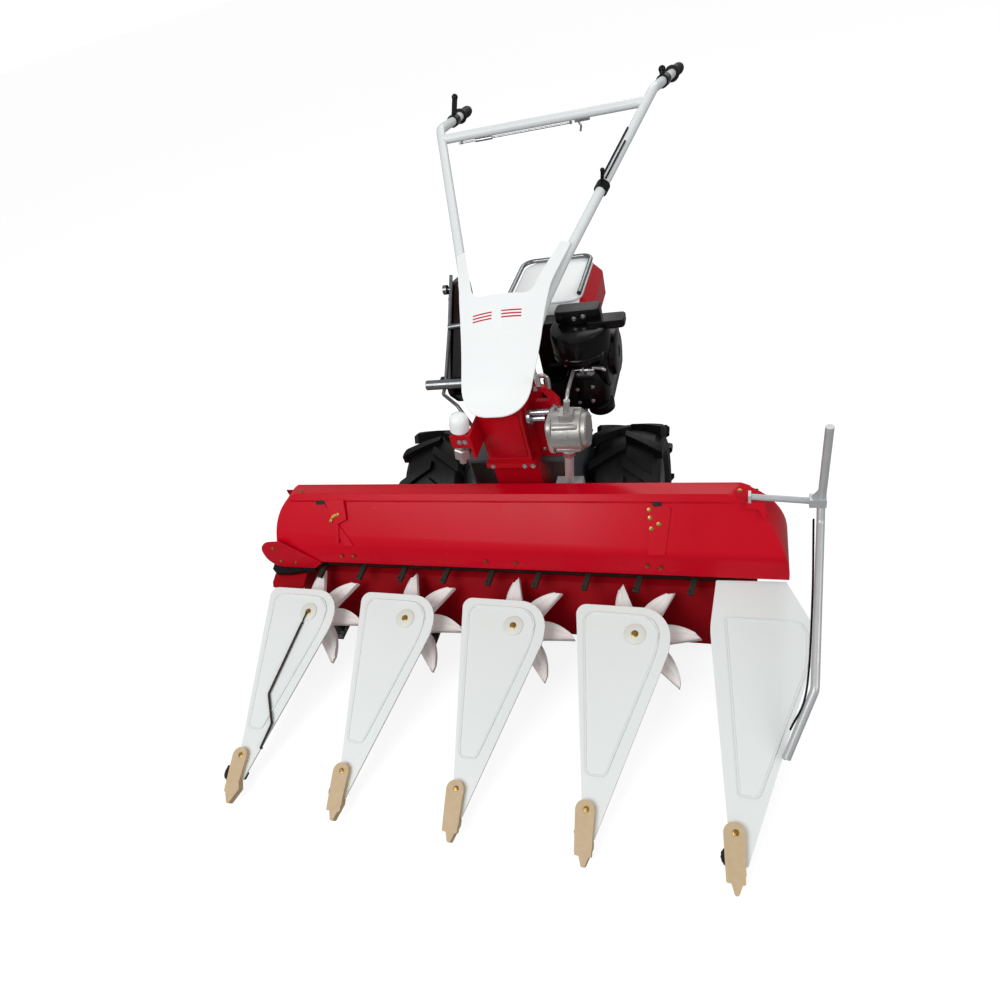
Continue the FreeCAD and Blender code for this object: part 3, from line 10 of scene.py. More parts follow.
import bmesh
import bpy
import numpy as np
from mathutils import Matrix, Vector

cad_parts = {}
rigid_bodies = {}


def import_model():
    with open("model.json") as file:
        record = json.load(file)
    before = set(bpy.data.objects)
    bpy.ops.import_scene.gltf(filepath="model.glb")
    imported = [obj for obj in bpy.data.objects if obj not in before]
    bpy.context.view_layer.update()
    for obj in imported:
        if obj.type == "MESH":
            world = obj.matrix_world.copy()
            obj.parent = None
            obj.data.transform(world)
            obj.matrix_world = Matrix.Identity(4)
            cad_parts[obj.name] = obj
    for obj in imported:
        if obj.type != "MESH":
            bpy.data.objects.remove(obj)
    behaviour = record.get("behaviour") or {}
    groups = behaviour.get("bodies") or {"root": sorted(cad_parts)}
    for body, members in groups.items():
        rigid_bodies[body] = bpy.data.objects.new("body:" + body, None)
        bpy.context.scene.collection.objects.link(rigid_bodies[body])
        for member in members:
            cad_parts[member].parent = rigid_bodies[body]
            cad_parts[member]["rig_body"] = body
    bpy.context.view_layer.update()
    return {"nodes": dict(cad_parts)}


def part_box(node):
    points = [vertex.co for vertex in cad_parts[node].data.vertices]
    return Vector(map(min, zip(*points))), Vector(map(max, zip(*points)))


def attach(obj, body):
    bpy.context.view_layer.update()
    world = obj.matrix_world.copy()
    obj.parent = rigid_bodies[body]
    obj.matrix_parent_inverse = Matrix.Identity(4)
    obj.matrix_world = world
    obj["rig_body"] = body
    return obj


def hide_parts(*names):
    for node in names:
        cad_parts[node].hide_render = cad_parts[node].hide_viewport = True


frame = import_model()
NODES = frame["nodes"]

# ---------------------------------------------------------------- places
BAR_LOW, BAR_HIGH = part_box("cutter_bar")
GUARD_FRONT = 580.0
HOME = np.array([(BAR_LOW.x + BAR_HIGH.x) / 2, BAR_LOW.y - GUARD_FRONT / 1000, 0.0])
TRACTOR = 62.0
SLOPE = math.radians(19.0)
TIPS = [-600.0, -300.0, 0.0, 300.0, 600.0]


def at(*points):
    """Drawing millimetres to row metres, for one point or many."""
    return np.atleast_2d(np.array(points, float)) / 1000 + HOME


def sloped(points):
    """Points (x, run up the dividers' slope, height above it) to drawing millimetres."""
    x, run, above = np.array(points, float).T
    y = run * math.cos(SLOPE) - above * math.sin(SLOPE)
    z = 16 + run * math.sin(SLOPE) + above * math.cos(SLOPE)
    return np.stack([x, y, z], 1)


HOOD_RUN = np.array([0.0, 91.0, 112.5]) / math.hypot(91.0, 112.5)
HOOD_OUT = np.array([0.0, -112.5, 91.0]) / math.hypot(91.0, 112.5)
SLOPE_OUT = np.array([0.0, -math.sin(SLOPE), math.cos(SLOPE)])
HOOD_FACE = np.array([0.0, 685.4, 392.7])
ACROSS = np.array([1.0, 0.0, 0.0])
FORWARD = np.array([0.0, -1.0, 0.0])
UP = np.array([0.0, 0.0, 1.0])


def on_hood(points):
    """Points (x, run up the cover's front, height above it) to drawing millimetres."""
    x, run, above = np.array(points, float).T
    return HOOD_FACE + x[:, None] * ACROSS + run[:, None] * HOOD_RUN + above[:, None] * HOOD_OUT


# ---------------------------------------------------------------- surfaces
def unit(vector):
    return vector / np.linalg.norm(vector)


def grid_faces(rows, columns):
    """Four-cornered faces of a grid whose columns close into a ring, and its two end faces."""
    r, c = np.meshgrid(np.arange(rows - 1), np.arange(columns), indexing="ij")
    nxt = (c + 1) % columns
    low, high = r * columns, (r + 1) * columns
    quads = np.stack([low + c, low + nxt, high + nxt, high + c], -1)
    ends = [list(range(columns))[::-1], list(range((rows - 1) * columns, rows * columns))]
    return quads.reshape(-1, 4).tolist() + ends


def turned(profile, foot, axis, steps=32, facets=0):
    """Profile of (radius, height) turned about an axis.

    A point is foot + radius * k(a) * (cos a * side + sin a * other) + height * axis. The
    factor k is 1 for a round part, and cos(half) / cos(a within one flat - half) for a
    part with flats, such as a nut.
    """
    axis = unit(np.array(axis, float))
    side = unit(np.cross(axis, [0.31, 0.52, 0.79]))
    other = np.cross(axis, side)
    angle = np.arange(steps) * 2 * np.pi / steps
    factor = np.ones(steps)
    if facets:
        flat = 2 * np.pi / facets
        factor = np.cos(flat / 2) / np.cos(angle % flat - flat / 2)
    around = (np.cos(angle) * factor)[:, None] * side + (np.sin(angle) * factor)[:, None] * other
    radius, height = np.array(profile, float).T
    points = np.array(foot, float) + radius[:, None, None] * around[None] + height[:, None, None] * axis
    return points.reshape(-1, 3), grid_faces(len(profile), steps)


def carried(path, outline, sizes=1.0):
    """Closed outline of (u, v) carried along a path without twisting.

    A point is path(s) + size(s) * (u * side(s) + v * over(s)), where side and over stand
    square to the path and each follows the one before.
    """
    path = np.array(path, float)
    along = np.gradient(path, axis=0)
    along /= np.linalg.norm(along, axis=1)[:, None]
    over = unit(np.cross(np.cross(along[0], UP if abs(along[0][2]) < 0.9 else ACROSS), along[0]))
    overs = [over]
    for way in along[1:]:
        overs.append(unit(overs[-1] - way * overs[-1].dot(way)))
    overs = np.array(overs)
    sides = np.cross(along, overs)
    size = np.ones(len(path)) * np.array(sizes)
    u, v = np.array(outline, float).T
    offset = u[None, :, None] * sides[:, None] + v[None, :, None] * overs[:, None]
    points = path[:, None] + size[:, None, None] * offset
    return points.reshape(-1, 3), grid_faces(len(path), len(outline))


def slab(outline, way, steps):
    """Flat outline lifted along a way: at each (height, size) it is scaled about its middle."""
    outline = np.array(outline, float)
    middle = outline.mean(0)
    rings = [middle + (outline - middle) * size + way * height for height, size in steps]
    return np.concatenate(rings), grid_faces(len(steps), len(outline))


def circle(radius, steps=16):
    """Points (u, v) of a circle."""
    angle = np.arange(steps) * 2 * np.pi / steps
    return np.stack([radius * np.cos(angle), radius * np.sin(angle)], 1)


def rounded_box(size, corner, steps=4):
    """Outline of a rectangle of that width and height with round corners."""
    turn = np.linspace(0, np.pi / 2, steps)
    width, height = size[0] / 2 - corner, size[1] / 2 - corner
    parts = []
    for i, (x, y) in enumerate(((width, height), (-width, height), (-width, -height), (width, -height))):
        angle = turn + i * np.pi / 2
        parts.append(np.stack([x + corner * np.cos(angle), y + corner * np.sin(angle)], 1))
    return np.concatenate(parts)


def curve_through(points, count):
    """Smooth line through points, each stretch a cubic with the slopes of its neighbours."""
    points = np.array(points, float)
    slopes = np.gradient(points, axis=0)
    place = np.linspace(0, len(points) - 1, count)
    index = np.minimum(place.astype(int), len(points) - 2)
    t = (place - index)[:, None]
    start, end = points[index], points[index + 1]
    a, b = slopes[index], slopes[index + 1]
    return ((2 * t**3 - 3 * t**2 + 1) * start + (t**3 - 2 * t**2 + t) * a
            + (3 * t**2 - 2 * t**3) * end + (t**3 - t**2) * b)


def joined(parts):
    """One list of points and faces from several."""
    points, faces, count = [], [], 0
    for some, made in parts:
        points.append(some)
        faces += [[i + count for i in face] for face in made]
        count += len(some)
    return np.concatenate(points), faces


def piece(name, parts, material, body, crease=35.0, bevel=0.0):
    """New object from closed surfaces in drawing millimetres, riding on a body."""
    points, faces = joined(parts)
    mesh = bpy.data.meshes.new(name)
    mesh.from_pydata((points / 1000 + HOME).tolist(), [], faces)
    work = bmesh.new()
    work.from_mesh(mesh)
    bmesh.ops.recalc_face_normals(work, faces=work.faces)
    work.to_mesh(mesh)
    work.free()
    mesh.shade_smooth()
    mesh.set_sharp_from_angle(angle=math.radians(crease))
    return placed(name, mesh, material, body, bevel, crease)


def placed(name, mesh, material, body, bevel, crease):
    """Object at the origin, with its finish, its eased edges and the body it rides on."""
    thing = bpy.data.objects.new(name, mesh)
    bpy.context.scene.collection.objects.link(thing)
    mesh.materials.clear()
    mesh.materials.append(material)
    if bevel:
        ease = thing.modifiers.new("eased edges", "BEVEL")
        ease.width = bevel / 1000
        ease.segments = 2
        ease.limit_method = "ANGLE"
        ease.angle_limit = math.radians(crease)
        ease.harden_normals = True
    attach(thing, body)
    return thing


def eased(node, name, material, bevel=1.0, crease=35.0):
    """Copy of a CAD node with its triangles merged and its edges rounded, shown in its place."""
    mesh = NODES[node].data.copy()
    mesh.name = name
    for extra in ("custom_normal", "sharp_edge"):
        if extra in mesh.attributes:
            mesh.attributes.remove(mesh.attributes[extra])
    work = bmesh.new()
    work.from_mesh(mesh)
    bmesh.ops.remove_doubles(work, verts=work.verts, dist=2e-6)
    bmesh.ops.dissolve_limit(work, angle_limit=math.radians(0.4), verts=work.verts, edges=work.edges)
    work.to_mesh(mesh)
    work.free()
    mesh.shade_smooth()
    mesh.set_sharp_from_angle(angle=math.radians(crease))
    thing = placed(name, mesh, material, NODES[node]["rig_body"], bevel, crease)
    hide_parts(node)
    return thing


# ---------------------------------------------------------------- materials
def linear(colour):
    """sRGB hex to linear red, green, blue and 1."""
    values = np.array([int(colour[i:i + 2], 16) for i in (1, 3, 5)]) / 255
    low = values / 12.92
    high = ((values + 0.055) / 1.055) ** 2.4
    return (*np.where(values <= 0.04045, low, high).tolist(), 1.0)


def add(tree, kind, inputs=(), **settings):
    """Adds a node with its settings; an input is a value, or a socket to link from."""
    node = tree.nodes.new(kind)
    for key, value in settings.items():
        setattr(node, key, value)
    for key, value in dict(inputs).items():
        if isinstance(value, bpy.types.NodeSocket):
            tree.links.new(value, node.inputs[key])
        else:
            node.inputs[key].default_value = value
    return node


def surface(name, colours, rough, metallic=0.0, ior=1.5, blotch=70.0, grit=1.2, relief=0.05, gleam=0.3):
    """Material whose colour wanders between two, with a spread of roughness and a fine relief.

    blotch and grit are the sizes in mm of the colour patches and of the relief; relief is
    its height in mm. rough is the lowest and the highest roughness, and gleam the level of
    the mirror reflection.
    """
    material = bpy.data.materials.new(name)
    material.use_nodes = True
    tree = material.node_tree
    shader = tree.nodes["Principled BSDF"]
    shader.inputs["Metallic"].default_value = metallic
    shader.inputs["IOR"].default_value = ior
    shader.inputs["Specular IOR Level"].default_value = 0.5 if metallic else gleam
    place = add(tree, "ShaderNodeTexCoord").outputs["Object"]
    patches = add(tree, "ShaderNodeTexNoise", {"Vector": place, "Scale": 1000 / blotch, "Detail": 5.0})
    pair = {"Factor": patches.outputs["Fac"], "A": linear(colours[0]), "B": linear(colours[1])}
    mixed = add(tree, "ShaderNodeMix", pair, data_type="RGBA")
    tree.links.new(mixed.outputs[2], shader.inputs["Base Color"])
    worn = add(tree, "ShaderNodeTexNoise", {"Vector": place, "Scale": 2600 / blotch, "Detail": 6.0})
    spread = add(tree, "ShaderNodeMapRange", {
        "Value": worn.outputs["Fac"], "From Min": 0.3, "From Max": 0.7, "To Min": rough[0], "To Max": rough[1]})
    tree.links.new(spread.outputs[0], shader.inputs["Roughness"])
    grain = add(tree, "ShaderNodeTexNoise", {"Vector": place, "Scale": 1000 / grit, "Detail": 3.0})
    height = {"Height": grain.outputs["Fac"], "Strength": 1.0, "Distance": relief / 1000}
    bump = add(tree, "ShaderNodeBump", height)
    tree.links.new(bump.outputs[0], shader.inputs["Normal"])
    return material


# Sprayed enamel on pressed steel: deep red, wet-looking, with a slight orange-peel skin.
RED = surface("sprayed_red_enamel", ("#CC0822", "#C0051D"), (0.20, 0.28),
              blotch=260, grit=2.2, relief=0.008, gleam=0.14)
# The tank wears the same enamel, with a white front.
TANK = surface("two_colour_tank_enamel", ("#C00820", "#B4051B"), (0.22, 0.32),
               blotch=260, grit=2.2, relief=0.008, gleam=0.14)
# The same enamel, darkened to a deeper red as painted shade, for the parts inside the header.
HEADER_SHADE_RED = surface("red_enamel_painted_shade", ("#A80416", "#82020D"), (0.38, 0.55),
                   blotch=120, grit=1.6, relief=0.03, gleam=0.08)
# Cast iron under red enamel: the casting's skin shows through as small dimples.
CAST_RED = surface("enamelled_cast_iron", ("#C2061B", "#AA0314"), (0.26, 0.38),
                   blotch=60, grit=1.4, relief=0.06, gleam=0.16)
# Polyethylene pressed from sheet: cool off-white, soft gloss with faint scuffs.
PANEL = surface("pressed_polyethylene", ("#E7EBEA", "#E1E6E4"), (0.28, 0.40),
                ior=1.51, blotch=240, grit=1.0, relief=0.02)
# Injection-moulded white ABS, glossier than the dividers.
WHITE = surface("moulded_white_abs", ("#FAFCFC", "#F7FAFA"), (0.20, 0.28),
                ior=1.53, blotch=400, grit=1.5, relief=0.005)
# The console is the same plastic, with red stripes printed on it.
WHITE_CONSOLE = surface("printed_white_abs", ("#FAFCFC", "#F7FAFA"), (0.20, 0.28),
                        ior=1.53, blotch=400, grit=1.5, relief=0.005)
# White nylon of the star wheels: warm white with a wax-like softness.
STAR = surface("moulded_white_nylon", ("#F6F0EE", "#EEE7E4"), (0.34, 0.48),
               ior=1.53, blotch=50, grit=1.2, relief=0.03)
# Unpigmented nylon: straw-coloured, slightly see-through, scratched by stones.
NYLON = surface("natural_nylon", ("#CDB795", "#BEA581"), (0.36, 0.56),
                ior=1.53, blotch=14, grit=0.9, relief=0.08)
for waxy, weight, reach in ((STAR, 0.08, 4.0), (NYLON, 0.15, 6.0)):
    inputs = waxy.node_tree.nodes["Principled BSDF"].inputs
    inputs["Subsurface Weight"].default_value = weight
    inputs["Subsurface Scale"].default_value = reach / 1000
# Unpigmented polyethylene washers: milky, a little yellower than the dividers.
MILKY = surface("milky_polyethylene", ("#E0E2DA", "#DADCD2"), (0.34, 0.48),
                ior=1.51, blotch=20, grit=0.9, relief=0.02)
# Silver paint over a plain steel tube.
SILVER = surface("silver_painted_steel", ("#C9CBCC", "#B7BABC"), (0.28, 0.42),
                 metallic=0.35, blotch=50, grit=1.0, relief=0.02)
# Tyre rubber: brown-black, dull, with the mould's fine pebbling and some dust.
RUBBER = surface("moulded_tyre_rubber", ("#0D0C0C", "#151413"), (0.38, 0.52),
                 ior=1.52, blotch=38, grit=1.5, relief=0.10, gleam=0.2)
# Grip rubber: softer and blacker.
GRIP = surface("soft_grip_rubber", ("#121212", "#1B1B1B"), (0.48, 0.62),
               ior=1.52, blotch=30, grit=1.0, relief=0.05)
# Powder-coated steel tube: pale grey-white, even gloss.
TUBE = surface("powder_coated_tube", ("#EDF1F2", "#E6EBEC"), (0.22, 0.32),
               blotch=160, grit=1.0, relief=0.015)
# Silver-grey paint of the wheel discs.
GREY = surface("silver_grey_paint", ("#8B8F92", "#7C8083"), (0.34, 0.50),
               blotch=60, grit=1.2, relief=0.03)
# Dark grey paint of the frame's plates.
SLATE = surface("slate_grey_paint", ("#4B4D50", "#3F4144"), (0.36, 0.50),
                blotch=70, grit=1.2, relief=0.03)
# Zinc-plated steel: bright, cool, a little cloudy.
ZINC = surface("zinc_plated_steel", ("#C9CCCF", "#A9ADB1"), (0.20, 0.36),
               metallic=1.0, blotch=18, grit=0.8, relief=0.02)
# Yellow-passivated zinc on small screws.
BRASS = surface("yellow_zinc_plated_steel", ("#B6914F", "#8F6E3A"), (0.22, 0.38),
                metallic=1.0, blotch=12, grit=0.8, relief=0.02)
# Drawn steel tube, dull from handling.
DRAWN = surface("drawn_steel_tube", ("#8E9193", "#74777A"), (0.24, 0.36),
                metallic=1.0, blotch=30, grit=0.8, relief=0.015)
# Bare mild steel that has browned outdoors.
STEEL = surface("browned_mild_steel", ("#4B443D", "#2F2A26"), (0.48, 0.70),
                metallic=0.8, blotch=22, grit=1.2, relief=0.10)
# Die-cast aluminium, sand-dull between machined faces.
ALLOY = surface("die_cast_aluminium", ("#C6C4C1", "#A8A5A2"), (0.34, 0.52),
                metallic=0.9, blotch=26, grit=1.1, relief=0.09)
# Black enamel on the engine block and its cylinder.
BLACK = surface("black_engine_enamel", ("#080808", "#0D0D0D"), (0.24, 0.38),
                gleam=0.2, blotch=40, grit=1.3, relief=0.06)
# Glossy black ABS of the engine's covers.
GLOSS_BLACK = surface("moulded_black_abs", ("#070708", "#0B0B0C"), (0.16, 0.26),
                      ior=1.53, gleam=0.22, blotch=60, grit=1.8, relief=0.008)


# ---------------------------------------------------------------- finishes of the CAD parts
def paint(node, material):
    """Gives a CAD node that stays its finish."""
    NODES[node].data.materials.clear()
    NODES[node].data.materials.append(material)


for name, material in {
    "divider_wire": STEEL, "star_posts": ZINC, "divider_arms": STEEL,
    # The header's inside parts take the red that is darkened as painted shade.
    "header_deck": HEADER_SHADE_RED, "header_ribs": HEADER_SHADE_RED, "header_beam": HEADER_SHADE_RED,
    "header_rear_wall": HEADER_SHADE_RED, "guide_bracket": SILVER, "guide_rod": SILVER,
    "conveyor_chain": STEEL, "chain_rail": STEEL, "chain_guard": BLACK, "cutter_bar": STEEL,
    "knife": STEEL, "skid_shoes": STEEL, "hitch_arms": CAST_RED, "wheel_left": GREY,
    "wheel_right": GREY, "axle_housings": CAST_RED, "pto_stub": ZINC, "drive_shaft": SILVER,
    "filter_cup": WHITE, "filter_body": ALLOY, "side_levers": DRAWN, "cylinder": BLACK,
    "tank_guard": DRAWN, "handlebar": TUBE, "control_rods": ZINC, "arm_cables": GRIP,
    "filter_bracket": CAST_RED, "lever_clamps": GLOSS_BLACK, "fan_housing": GLOSS_BLACK,
    "drive_housing": ALLOY, "grips": GRIP, "tyre_left": RUBBER, "tyre_right": RUBBER,
    "star_wheel_1": STAR, "star_wheel_2": STAR, "star_wheel_3": STAR, "star_wheel_4": STAR,
}.items():
    paint(name, material)

eased("divider_plates", "divider_panels", PANEL, 1.4)
eased("outer_divider", "outer_divider_panel", PANEL, 1.4)
eased("divider_noses", "divider_nose_caps", NYLON, 1.5)
eased("header_hood", "header_cover", RED, 1.2)
eased("hood_plates", "header_straps", RED, 0.8)
eased("header_rail", "header_top_rail", RED, 1.0)
eased("console", "console_cover", WHITE_CONSOLE, 1.0)
eased("tank_top", "tank_lid", WHITE, 3.0)
eased("fuel_tank", "tank_shell", TANK, 1.2)
eased("gearbox_case", "gearbox_shell", CAST_RED, 1.6)
eased("frame_plates", "side_frames", SLATE, 0.8)
eased("belt_guard", "belt_cover", GLOSS_BLACK, 2.0)
eased("crankcase", "engine_block", BLACK, 2.0)


# ---------------------------------------------------------------- fastenings
HEX_HEAD = [(0.3, 0.0), (1.0, 0.0), (1.0, 0.62), (0.86, 0.74), (0.2, 0.76)]
WASHER = [(0.3, 0.0), (1.55, 0.0), (1.55, 0.16), (1.4, 0.24), (0.3, 0.24)]


def bolts(name, body, spots, size=6.5, material=None):
    """Hexagon heads on washers; size is the head's radius. A spot is (point, way out)."""
    parts = []
    for point, way in spots:
        way = unit(np.array(way, float))
        point = np.array(point, float)
        parts.append(turned(np.array(WASHER) * size, point, way, 24))
        parts.append(turned(np.array(HEX_HEAD) * size, point + way * 0.24 * size, way, 24, 6))
    return piece(name, parts, material or ZINC, body, 30)


def on_tractor(points):
    """Points drawn about the tractor's own middle plane."""
    return [((x + TRACTOR, y, z), way) for (x, y, z), way in points]


STRAP_BOLTS = [
    (401, 688, 390.5), (403, 676, 376), (406, 660, 356), (423, 667, 365),
    (-454, 672, 370), (-462, 668, 366), (-444, 677, 376),
]
SKIRT_BOLTS = [(393, 276), (424, 272), (-448, 275), (-410, 276), (-19, 273), (62, 272)]
LOBE_BOLTS = [(-662, 302), (-661, 248), (-612, 244)]
bolts("header_cover_bolts", "machine",
      [((x, y - 2.6, z + 2.2), HOOD_OUT) for x, y, z in STRAP_BOLTS]
      + [((x, 612.6, z), FORWARD) for x, z in SKIRT_BOLTS]
      + [((600, 716, 426), UP), ((-560, 716, 426), UP)]
      + [((x, 608.7, z), FORWARD) for x, z in LOBE_BOLTS], 3.6, BRASS)
bolts("gearbox_bolts", "machine", on_tractor(
    [((x, 755.5, 472), FORWARD) for x in (-47, 36, 58)]
    + [((x, 823.6, z), FORWARD) for x, z in ((72, 470), (107, 460), (104, 586), (122, 600), (84, 652))]
    + [((x, 701.6, 596), FORWARD) for x in (-86, -72)]
    + [((x, 780, 641), UP) for x in (-46, 46)]), 4.2)
BELT_COVER_BOLTS = [(960, 640), (1060, 700), (1120, 760), (1060, 780)]
bolts("belt_cover_bolts", "machine",
      on_tractor([((-167, y, z), -ACROSS) for y, z in BELT_COVER_BOLTS]), 6.0)


# ---------------------------------------------------------------- star wheels
def petal():
    """One curved arm of a star wheel, with a thick root, raised edges and a cut tip.

    Across the arm v runs from -1 to 1, and along it s from 0 to 1. The arm's middle line
    is a parabola and its width swells, then narrows. Its top rises at the edges by the
    sixth power of |v|, and along the middle by a narrow bell curve.
    """
    s = np.linspace(0, 1, 15)[:, None]
    v = np.linspace(-1, 1, 13)[None]
    reach = 34 + 106 * s
    middle = -1 + 13 * s - 31 * s**2
    half = 23 + 6 * s - 20.5 * s**2.4
    top = -STAR_DROP - 7 + 6 * np.abs(v) ** 6 + 1.4 * np.exp(-(v / 0.12) ** 2) + 0 * s
    bottom = np.full_like(top, -STAR_DROP - 13.5) - 2.5 * s
    x = reach + 0 * v - 5 * (v * s)
    y = middle + half * v
    upper = np.stack([x, y, top], -1)
    lower = np.stack([x, y, bottom], -1)[:, ::-1]
    ring = np.concatenate([upper, lower], 1)
    return ring.reshape(-1, 3), grid_faces(15, 26)


def rotation(angle, plane):
    """Turn by an angle within one plane of axes, such as (0, 1) for X towards Y."""
    first, second = plane
    matrix = np.eye(3)
    matrix[first, first] = matrix[second, second] = math.cos(angle)
    matrix[second, first] = math.sin(angle)
    matrix[first, second] = -math.sin(angle)
    return matrix


STAR_DROP = 38.0
STAR_AXIS = (70.0, 509.0)
STAR_ARMS = 7
STAR_PHASES = (6.0, 6.5, 6.5, 16.0)
HUB = [(9.2, -52), (44, -52), (46, -50), (46, -41), (43, -38.5), (20, -38.3), (17, -38), (9.2, -38)]
TILT = rotation(SLOPE, (1, 2))
for number, (tip, first) in enumerate(zip(TIPS[:4], STAR_PHASES), 1):
    centre = sloped([(tip + STAR_AXIS[0], STAR_AXIS[1], 0)])[0]
    arms = []
    for arm in range(STAR_ARMS):
        spin = rotation(math.radians(first + 360 * arm / STAR_ARMS), (0, 1))
        points, faces = petal()
        arms.append((points @ spin.T @ TILT.T + centre, faces))
    hub = turned(HUB, centre, SLOPE_OUT, 40)
    star = piece("star_wheel_petals_%d" % number, arms + [hub], STAR,
                 "star_body_%d" % number, 40)
    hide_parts("star_wheel_%d" % number)

POST_WASHER = [(3, 0), (25, 0), (25, 2.4), (23.4, 3.4), (3, 3.4)]
caps = [(tip + STAR_AXIS[0], STAR_AXIS[1]) for tip in TIPS[:4]]
piece("star_post_washers",
      [turned(POST_WASHER, sloped([(x, run, 6.3)])[0], SLOPE_OUT, 40) for x, run in caps],
      MILKY, "machine")
bolts("star_post_bolts", "machine",
      [(sloped([(x, run, 9.6)])[0], SLOPE_OUT) for x, run in caps], 5.4, BRASS)
bolts("nose_bolts", "machine", [(sloped([(tip - 3, 120, 17.1)])[0], SLOPE_OUT) for tip in TIPS], 4.0, BRASS)


# ---------------------------------------------------------------- hand grips
def bellows(length, low, high, rings):
    """Radius along a grip: a plain cuff, then shallow ribs that swell as a sine."""
    s = np.linspace(0, 1, rings * 8)
    radius = low + (high - low) * (0.5 - 0.5 * np.cos(2 * np.pi * s * rings)) * (s > 0.08) * (s < 0.93)
    return [(13.4, 0)] + list(zip(radius, s * length)) + [(low - 3, length + 4), (3, length + 5)]


for side in (1, -1):
    end = np.array([TRACTOR + side * 352, 2028, 984.0])
    way = unit(end - np.array([TRACTOR + side * 314, 1650, 1032.0]))
    start = end - way * 120
    flange = turned([(13.4, -3), (22, -3), (23, 0), (22, 3), (16, 4)], start, way, 32)
    sleeve = turned(bellows(118, 15.6, 17.2, 12), start, way, 32)
    grip = piece("hand_grip_%s" % ("left" if side > 0 else "right"), [sleeve, flange],
                 GRIP, "machine", 50)
    if side > 0:
        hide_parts("grips")


# ---------------------------------------------------------------- engine
def engine_air_cleaner():
    """Drum with a rolled shoulder and a band at its foot, under a flat cover and a tray."""
    x, y = TRACTOR + 168, 1000
    drum = turned([(40, 560), (42, 634), (66, 636), (73, 641), (73, 652), (71.2, 654), (71.2, 656),
                   (73, 658), (73, 702), (70, 709), (63, 712), (20, 712.5)], (x, y, 0), UP, 72)
    cover = carried([(TRACTOR + 166.5, 1023, z) for z in (716, 718, 744, 746.5)],
                    rounded_box((42, 111), 9), (0.97, 1, 1, 0.95))
    post = carried([(TRACTOR + 166, 1020, z) for z in (711, 717)], rounded_box((30, 60), 6))
    tray = carried([(TRACTOR + 235, 1006, z) for z in (702, 704, 720, 722)],
                   rounded_box((42, 91), 8), (0.96, 1, 1, 0.96))
    parts = [drum, cover, post, tray]
    made = piece("air_cleaner_housing", parts, GLOSS_BLACK, "machine", 32)
    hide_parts("air_cleaner")


def engine_fan():
    """Fan housing with a domed rim and a starter cup whose face has a ring of slots."""
    centre = (TRACTOR, 1032, 610)
    bowl = turned([(20, 214), (84, 214), (88, 219), (88, 228), (82, 233), (60, 236), (58, 240),
                   (57, 247), (52, 250), (16, 250), (14, 248)], centre, ACROSS, 72)
    ribs = []
    for i in range(12):
        angle = i * math.pi / 6
        way = np.array([0, math.cos(angle), math.sin(angle)])
        inner = np.array(centre) + ACROSS * 247.6 + way * 20
        path = [inner, inner + way * 14, inner + way * 28]
        ribs.append(carried(path, rounded_box((4, 5.5), 1.5), (0.8, 1, 0.8)))
    made = piece("fan_and_starter", [bowl] + ribs, GLOSS_BLACK, "machine", 32)
    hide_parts("fan_housing")


def engine_shroud():
    """Pressed shroud round the finned cylinder, bulging below the air cleaner."""
    path = [(TRACTOR + 172, y, 548) for y in (946, 952, 962, 985, 1010, 1024)]
    body = carried(path, rounded_box((112, 128), 40, 8), (0.62, 0.84, 0.96, 1.0, 1.0, 1.0))
    snout = turned([(8, 0), (30, 0), (34, 4), (34, 30), (30, 36), (8, 36)],
                   (TRACTOR + 196, 985, 470), UP, 40)
    piece("cylinder_shroud", [body, snout], GLOSS_BLACK, "machine", 50)


def carburettor():
    """Bright throttle shaft, levers and screws that show below the air cleaner."""
    parts = [
        turned([(2, 0), (5, 0), (5, 34), (2, 34)], (TRACTOR + 170, 930, 626), ACROSS, 20),
        turned([(2, 0), (9, 0), (9, 5), (2, 5)], (TRACTOR + 176, 930, 626), ACROSS, 24, 6),
        turned([(2, 0), (11, 0), (11, 8), (2, 8)], (TRACTOR + 196, 934, 622), FORWARD, 24, 6),
        carried([(TRACTOR + 150, 936, 622), (TRACTOR + 160, 930, 628), (TRACTOR + 176, 930, 630)],
                rounded_box((9, 3), 1), (0.7, 1, 1)),
        carried([(TRACTOR + 200, 936, 630), (TRACTOR + 222, 936, 626), (TRACTOR + 230, 938, 618)],
                rounded_box((12, 7), 2), (1, 1, 0.8)),
        turned([(1.5, 0), (3.5, 0), (3.5, 22), (1.5, 22)], (TRACTOR + 135, 940, 634), (0.3, -0.2, 0.9), 16),
    ]
    piece("carburettor_fittings", parts, ZINC, "machine")


def lifting_hook():
    """Bright bent strap behind the gearbox's front edge."""
    line = [(104, 800, 676), (106, 797, 700), (118, 794, 707), (129, 793, 700), (127, 796, 672)]
    strap = carried(curve_through(line, 22) + [TRACTOR, 0, 0], rounded_box((5, 13), 1.5))
    piece("lifting_hook", [strap], ZINC, "machine")


engine_air_cleaner()
engine_fan()
engine_shroud()
carburettor()
lifting_hook()
bolts("engine_bolts", "machine", on_tractor(
    [((x, 944.5, z), FORWARD) for x, z in ((190, 566), (150, 560), (186, 524), (150, 520))]
    + [((159, 1001.6, 726), FORWARD), ((182, 1001.6, 730), FORWARD)]
    + [((x, y, z), ACROSS) for x, y, z in ((221, 1000, 597), (233, 1090, 640), (233, 985, 660))]), 4.0)


